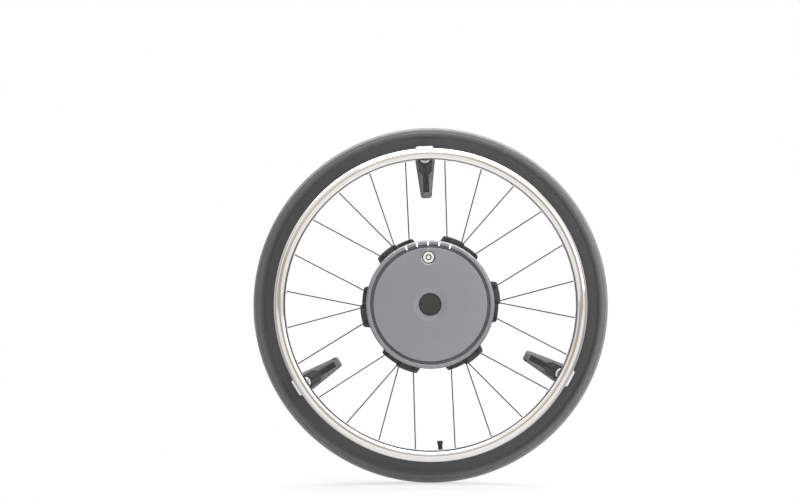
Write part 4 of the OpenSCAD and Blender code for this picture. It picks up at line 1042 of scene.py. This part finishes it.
def arm_recess():
    """Form to cut from an arm's front, wider towards its mouth."""
    narrow, wide = 4.35, 10
    tip, neck, shoulder, end = 185, 213, 221, 262
    back, deep, draft = 75.0, 12, 1.12
    recess = plate("recess", [
        (-narrow, tip, 1), (narrow, tip, 1), (narrow, neck, 3), (wide, shoulder, 3), (wide, end, 0),
        (-wide, end, 0), (-wide, shoulder, 3), (-narrow, neck, 3),
    ], back, deep, 3)
    edit(recess)
    pick(recess, "verts", lambda v: -v.co.y / MM > back + deep / 2)
    bpy.ops.transform.resize(value=(draft, 1, 1), center_override=ORIGIN)
    return close_up(recess)


def arm_hollows():
    """Forms to cut from an arm for the boss's stem, its head and driver, and the other screws' heads."""
    slot_half, slot_room, slot_from, slot_to = 7.25, 3.4, 69.5, 76
    pocket_half, pocket_in, pocket_room, pocket_from, pocket_to = 9.75, 20, 5.9, 64, 70
    driver_r, driver_from, driver_to = 4, 45, 66
    hollows = [
        slab("slot", slot_half, BOSS_AT - slot_room, BOSS_AT + slot_room, slot_from, slot_to),
        slab("pocket", pocket_half, BOSS_AT - pocket_in, BOSS_AT + pocket_room, pocket_from, pocket_to),
        moved(rod("driver", driver_r, driver_from, driver_to), shifted(BOSS_AT)),
    ]
    well_x, well_at, well_r, well_deep = 11, 243, 4.85, 60
    for x in (-well_x, well_x):
        place = aimed(at_face(x, well_at, MID), Vector((0, 0, -1)))
        hollows.append(moved(rod("well", well_r, 0, well_deep), place))
    head_at, head_r, head_deep = at_face(6.6, 182, 79.25), 2.9, 12
    hollows.append(moved(rod("head", head_r, 0, head_deep, 24), aimed(head_at, Vector((1, 0, 0)))))
    return hollows


class WHEEL_OT_arms(bpy.types.Operator):
    """Bridges an arm from its cross-sections, cuts its recess and holes, and copies it to three places."""

    bl_idname = "wheel.arms"
    bl_label = "Arms"

    def execute(self, context):
        loops = []
        for station in ARM_STATIONS:
            loops.append(draw("arm", arm_section(*station)))
            bpy.ops.object.mode_set(mode="OBJECT")
        arm = join("arm", loops)
        slack = 0.01
        edit(arm)
        for near, far in zip(ARM_STATIONS, ARM_STATIONS[1:]):
            pick(arm, "edges", lambda e: all(
                min(abs(v.co.z / MM - at) for at in (near[0], far[0])) < slack for v in e.verts)
                and abs(e.verts[0].co.z - e.verts[1].co.z) < slack * MM)
            bpy.ops.mesh.bridge_edge_loops()
        for at in (ARM_STATIONS[0][0], ARM_STATIONS[-1][0]):
            pick(arm, "edges", lambda e: all(abs(v.co.z / MM - at) < slack for v in e.verts))
            bpy.ops.mesh.edge_face_add()
        close_up(arm)
        soften(arm, 0.9, 3, 20)
        for hollow in [arm_recess()] + arm_hollows():
            combine(arm, hollow, "DIFFERENCE")
        for twin, name in zip(twins(arm, on_arms()), ARM_NAMES):
            twin.name = twin.data.name = "arm_" + name + "_shell"
            hand_over(twin, "wheel", "arm_plastic", "arm_" + name, smooth=25)
        return {"FINISHED"}


class WHEEL_OT_push_rim(bpy.types.Operator):
    """Turns the push rim's tube and adds the bosses with their weld pads and plugs; the plugs are darker
    steel discs that paint the shade of a deep eye into each boss.
    """

    bl_idname = "wheel.push_rim"
    bl_label = "Push rim"

    def execute(self, context):
        tube = size("hoop_tube")
        middle, ring_r = HOOP_FRONT - tube, HOOP_R - tube
        hoop = turn("push_hoop", arc(ring_r, middle, tube, steps_between(0, 345, 23)), 256)
        hand_over(hoop, "pushrim", "pushrim_steel", "pushrim_tube")
        shank, head, eye, eye_slope = 4.4, 8.9, 6.0, 0.4
        back, shoulder, floor, front = 75.5, 85.5, 91.0, 92.5
        boss = turn("boss", rounded([
            (0, back, 0), (shank, back, 0.2), (shank, shoulder, 0), (head, shoulder, 0.5),
            (head, front, 1.0), (eye + eye_slope, front, 0.3), (eye, floor, 0), (0, floor, 0),
        ]), 48)
        slit_half, slit_reach, slit_from, slit_to = 0.8, 6, 75, 83
        slit = slab("slit", slit_half, -slit_reach, slit_reach, slit_from, slit_to)
        combine(boss, slit, "DIFFERENCE")
        stem_r, stem_from, stem_to = 3, 70, 76
        stem = rod("stem", stem_r, stem_from, stem_to)
        boss = moved(join("boss", [boss, stem]), shifted(BOSS_AT))
        across, sunk, proud, slope = size("weld_pad") / 2, 3.4, 3.45, 5.5
        pad_back, pad_deep = 93.1, 4.8
        pad = plate("pad", [
            (-across, HOOP_R - sunk, 0.5), (across, HOOP_R - sunk, 0.5),
            (across - slope, HOOP_R + proud, 1.5), (slope - across, HOOP_R + proud, 1.5),
        ], pad_back, pad_deep)
        soften(pad, 0.7, 3, 40)
        bosses = copies(join("hoop_bosses", [boss, pad]), on_arms())
        hand_over(bosses, "pushrim", "contact_silver", "pushrim_bosses")
        # Painted shade: a darker steel disc in each boss's eye stands in for the shade of a deep hole
        shade_plug_gap, shade_plug_sunk, shade_plug_proud = 0.1, 0.4, 0.3
        shade_plug = rod("boss_plugs", eye - shade_plug_gap, floor - shade_plug_sunk, floor + shade_plug_proud)
        moved(shade_plug, shifted(BOSS_AT))
        hand_over(copies(shade_plug, on_arms()), "pushrim", "steel")
        return {"FINISHED"}


class WHEEL_OT_blades(bpy.types.Operator):
    """Shapes the leaf spring of each arm, between the wheel and the push rim."""

    bl_idname = "wheel.blades"
    bl_label = "Leaf springs"

    def execute(self, context):
        inner, outer, back, front, thick = 179.0, BOSS_AT + 3, 76, 82.5, 1.2
        blade = prism("leaf_spring", [at_face(-thick / 2, up, out) for up, out in rounded([
            (inner, back, 1), (outer, back, 1), (outer, front, 1), (inner, front, 1),
        ])], (thick, 0, 0))
        edit(blade)
        for up in steps_between(inner, outer, 16)[1:-1]:
            bpy.ops.mesh.select_all(action="SELECT")
            bpy.ops.mesh.bisect(plane_co=(0, 0, up * MM), plane_no=(0, 0, 1))
        close_up(blade)
        for number, (twin, place) in enumerate(zip(twins(blade, on_arms()), on_arms())):
            twin.name = twin.data.name = "leaf_spring_%d" % (number + 1)
            dress(twin, "spoke_black")
            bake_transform(twin)
            if number == 0:
                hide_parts("spring_blades")
        return {"FINISHED"}


class WHEEL_OT_valve(bpy.types.Operator):
    """Turns the valve with its thread, nut and ribbed cap."""

    bl_idname = "wheel.valve"
    bl_label = "Valve"

    def execute(self, context):
        low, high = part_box("valve_stem")
        inner, outer = -high.z / MM, -low.z / MM
        cap_end = -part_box("valve_cap")[1].z / MM
        crest, root, turns, end = 4.0, 3.6, 22, outer - 0.5
        nut_r, nut_at, nut_thick = 5.4, RIM_R - 24, 3
        stem = [(0, end), (crest, end)]
        for k in range(turns):
            at = inner + (nut_at - inner) * (1 - k / turns)
            stem += [(crest, at), (root, at - 0.5 * (nut_at - inner) / turns)]
        stem += [(root, inner), (0, inner)]
        at_foot = math.radians(182)
        place = about_axle(at_foot) @ aimed(at_face(0, 0, MID), Vector((0, 0, 1)))
        body = turn("valve_body", stem, 32)
        corners = [polar(nut_r, degrees, nut_at - nut_thick) for degrees in range(0, 360, 60)]
        nut = prism("nut", corners, (0, -nut_thick, 0))
        soften(nut, 0.4, 2)
        hand_over(moved(join("valve_body", [body, nut]), place), "wheel", "soft_rubber", "valve_stem")
        ribs, valley, ridge, cap_at = 24, 4.4, 4.8, inner - 0.2
        outline = [polar(ridge if k % 2 else valley, 180 * k / ribs, cap_at) for k in range(2 * ribs)]
        cap = prism("valve_cover", outline, (0, cap_at - cap_end, 0))
        soften(cap, 0.25, 2, 60)
        hand_over(moved(cap, place), "wheel", "cap_black", "valve_cap")
        return {"FINISHED"}


class WHEEL_OT_solids(bpy.types.Operator):
    """Gives every solid of the frame the finish of its slot."""

    bl_idname = "wheel.solids"
    bl_label = "Finishes of the solids"

    def execute(self, context):
        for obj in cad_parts.values():
            key = obj.data.materials[0].name.split(".")[0]
            obj.data.materials.clear()
            obj.data.materials.append(finish(key))
        return {"FINISHED"}


# Lamps: place, what they face, width and height, watts, and whether bright metal mirrors them
LAMPS = {
    "sky_box": ((0.3, -1.0, 1.7), (0, 0, 0), (2.4, 1.5), 22, True),
    "back_box": ((-0.1, 0.6, 1.75), (0, 0, 0.2), (3.4, 1.4), 44, True),
    "right_box": ((2.2, -1.3, 0.9), (0, 0, 0), (1.2, 1.4), 16, True),
    "side_box": ((2.1, -0.1, 0.5), (0, 0, 0.05), (2.2, 1.8), 30, False),
    "front_box": ((-0.8, -3.2, 1.4), (0, 0, 0), (2.4, 1.8), 4, True),
}
CAMERA_AT, CAMERA_AIM = (0, -2.358, 0), (-0.0503, -0.058, 0.0907)
CAMERA_LENS, CAMERA_SENSOR = 62.1, 36
FLOOR_SIZE, FLOOR_GAP = 30, 0.0002
FLOOR_TINT = (0.90, 0.90, 0.895, 1.0)
WHITE = (1.0, 1.0, 1.0, 1.0)
SKY_FILL = 0.29


def facing(place, target):
    """Turn of a lamp or camera that looks from a place at a target."""
    return (Vector(target) - Vector(place)).to_track_quat("-Z", "Y").to_euler()


class WHEEL_OT_stage(bpy.types.Operator):
    """Lays the pale floor and sets the lamps, the world and the camera."""

    bl_idname = "wheel.stage"
    bl_label = "Stage"

    def execute(self, context):
        scene = context.scene
        let_go()
        bpy.ops.mesh.primitive_plane_add(size=FLOOR_SIZE, location=(0, 0, FLOOR - FLOOR_GAP))
        floor = context.object
        floor.name = "floor"
        floor.data.materials.append(floor_finish())
        for name, (place, target, reach, power, mirrored) in LAMPS.items():
            bpy.ops.object.light_add(type="AREA", location=place)
            lamp = context.object
            lamp.name = lamp.data.name = name
            lamp.data.shape = "RECTANGLE"
            lamp.data.size, lamp.data.size_y = reach
            lamp.data.energy = power
            lamp.rotation_euler = facing(place, target)
            lamp.visible_glossy = mirrored
        scene.world = white_world()
        bpy.ops.object.camera_add(location=CAMERA_AT)
        camera = context.object
        camera.data.lens = CAMERA_LENS
        camera.data.sensor_width = CAMERA_SENSOR
        camera.rotation_euler = facing(camera.location, CAMERA_AIM)
        scene.camera = camera
        scene.view_settings.view_transform = "Standard"
        return {"FINISHED"}


def grey_aside(tree, way):
    """Level that falls towards both sides of the wheel, so that bright metal keeps its form there."""
    fall_from, fall_to, dimmest = 0.80, 0.97, 0.45
    aside = vector_value(tree, "DOT_PRODUCT", way, (1.0, 0.0, 0.0))
    return ramp(tree, math_node(tree, "ABSOLUTE", aside), fall_from, fall_to, 1.0, dimmest)


def looking(tree):
    """Mask of the camera's rays, and of these with the mirrored ones and those through glass."""
    rays = node(tree, "LightPath").outputs
    bent = math_node(tree, "MAXIMUM", rays["Is Glossy Ray"], rays["Is Transmission Ray"])
    return rays["Is Camera Ray"], math_node(tree, "MAXIMUM", rays["Is Camera Ray"], bent)


def floor_finish():
    """Pale floor that keeps its shadow near the wheel and fades to white further away."""
    material = bpy.data.materials.new("floor")
    tree = cleared(material)
    place = node(tree, "TexCoord").outputs["Object"]
    speckle = noise(tree, place, 30.0, 4.0)
    tint = shaded(tree, FLOOR_TINT, ramp(tree, speckle, 0.3, 0.7, 0.985, 1.015))
    paint = node(tree, "BsdfPrincipled", {"Base Color": tint, "Roughness": 0.7, "Specular IOR Level": 0.2})
    straight, seen = looking(tree)
    way = node(tree, "VectorMath", {0: place}, operation="NORMALIZE").outputs["Vector"]
    level = math_node(tree, "MAXIMUM", straight, grey_aside(tree, way))
    white = node(tree, "Emission", {"Color": WHITE, "Strength": level})
    near, far, least = 0.20, 0.65, 0.6
    away = vector_value(tree, "LENGTH", place)
    fade = math_node(tree, "MULTIPLY", ramp(tree, away, near, far, least, 1.0), seen)
    both = node(tree, "MixShader", {0: fade, 1: paint.outputs["BSDF"], 2: white.outputs["Emission"]})
    node(tree, "OutputMaterial", {"Surface": both.outputs["Shader"]})
    return material


def white_world():
    """White surroundings, with a warm grey band behind the camera and grey sides for metal to show."""
    world = bpy.data.worlds.new("surroundings")
    tree = cleared(world)
    straight, seen = looking(tree)
    way = node(tree, "TexCoord").outputs["Generated"]
    band_at = (-0.17, -0.985, 0.0)
    across = vector_value(tree, "DOT_PRODUCT", way, band_at)
    band = node(tree, "ValToRGB", {"Fac": ramp(tree, across, 1.0, 0.7)})
    stops = band.color_ramp.elements
    stops[0].position, stops[0].color = 0.0, (0.52, 0.46, 0.38, 1)
    stops[1].position, stops[1].color = 1.0, WHITE
    for position, tone in (
        (0.44, (0.50, 0.44, 0.36, 1)), (0.53, (0.14, 0.12, 0.10, 1)), (0.62, (0.97, 0.97, 0.96, 1)),
    ):
        stops.new(position).color = tone
    shown = shaded(tree, band.outputs["Color"], grey_aside(tree, way))
    bright = node(tree, "Background", {"Color": mixed(tree, straight, shown, WHITE), "Strength": 1.0})
    fill = node(tree, "Background", {"Color": (0.97, 0.98, 1.0, 1.0), "Strength": SKY_FILL})
    both = node(tree, "MixShader", {0: seen, 1: fill.outputs["Background"], 2: bright.outputs["Background"]})
    node(tree, "OutputWorld", {"Surface": both.outputs["Shader"]})
    return world


STEPS = (
    WHEEL_OT_solids, WHEEL_OT_tyre, WHEEL_OT_rim, WHEEL_OT_spokes, WHEEL_OT_drum, WHEEL_OT_face,
    WHEEL_OT_back, WHEEL_OT_trim, WHEEL_OT_cap, WHEEL_OT_socket, WHEEL_OT_springs, WHEEL_OT_arms,
    WHEEL_OT_push_rim, WHEEL_OT_blades, WHEEL_OT_valve, WHEEL_OT_stage,
)


class WHEEL_PT_panel(bpy.types.Panel):
    """Sizes, colours and building steps of the wheel."""

    bl_idname = "WHEEL_PT_panel"
    bl_label = "Power assist wheel"
    bl_space_type = "VIEW_3D"
    bl_region_type = "UI"
    bl_category = "Wheel"

    def draw(self, context):
        scene = context.scene
        for title, group in (("Sizes", scene.wheel_sizes), ("Colours", scene.wheel_colours)):
            box = self.layout.box()
            box.label(text=title)
            for key in group.__annotations__:
                box.prop(group, key)
        steps = self.layout.column(align=True)
        for step in STEPS:
            steps.operator(step.bl_idname)


CLASSES = (WheelSizes, WheelColours) + STEPS + (WHEEL_PT_panel,)


def register():
    """Registers the classes and hangs the sizes and colours on the scene."""
    for item in CLASSES:
        bpy.utils.register_class(item)
    bpy.types.Scene.wheel_sizes = bpy.props.PointerProperty(type=WheelSizes)
    bpy.types.Scene.wheel_colours = bpy.props.PointerProperty(type=WheelColours)


def unregister():
    """Takes the sizes and colours off the scene and unregisters the classes."""
    del bpy.types.Scene.wheel_colours
    del bpy.types.Scene.wheel_sizes
    for item in reversed(CLASSES):
        bpy.utils.unregister_class(item)


def main():
    """Builds every piece and the stage."""
    register()
    for step in STEPS:
        group, name = step.bl_idname.split(".")
        getattr(getattr(bpy.ops, group), name)()


if __name__ == "__main__":
    main()
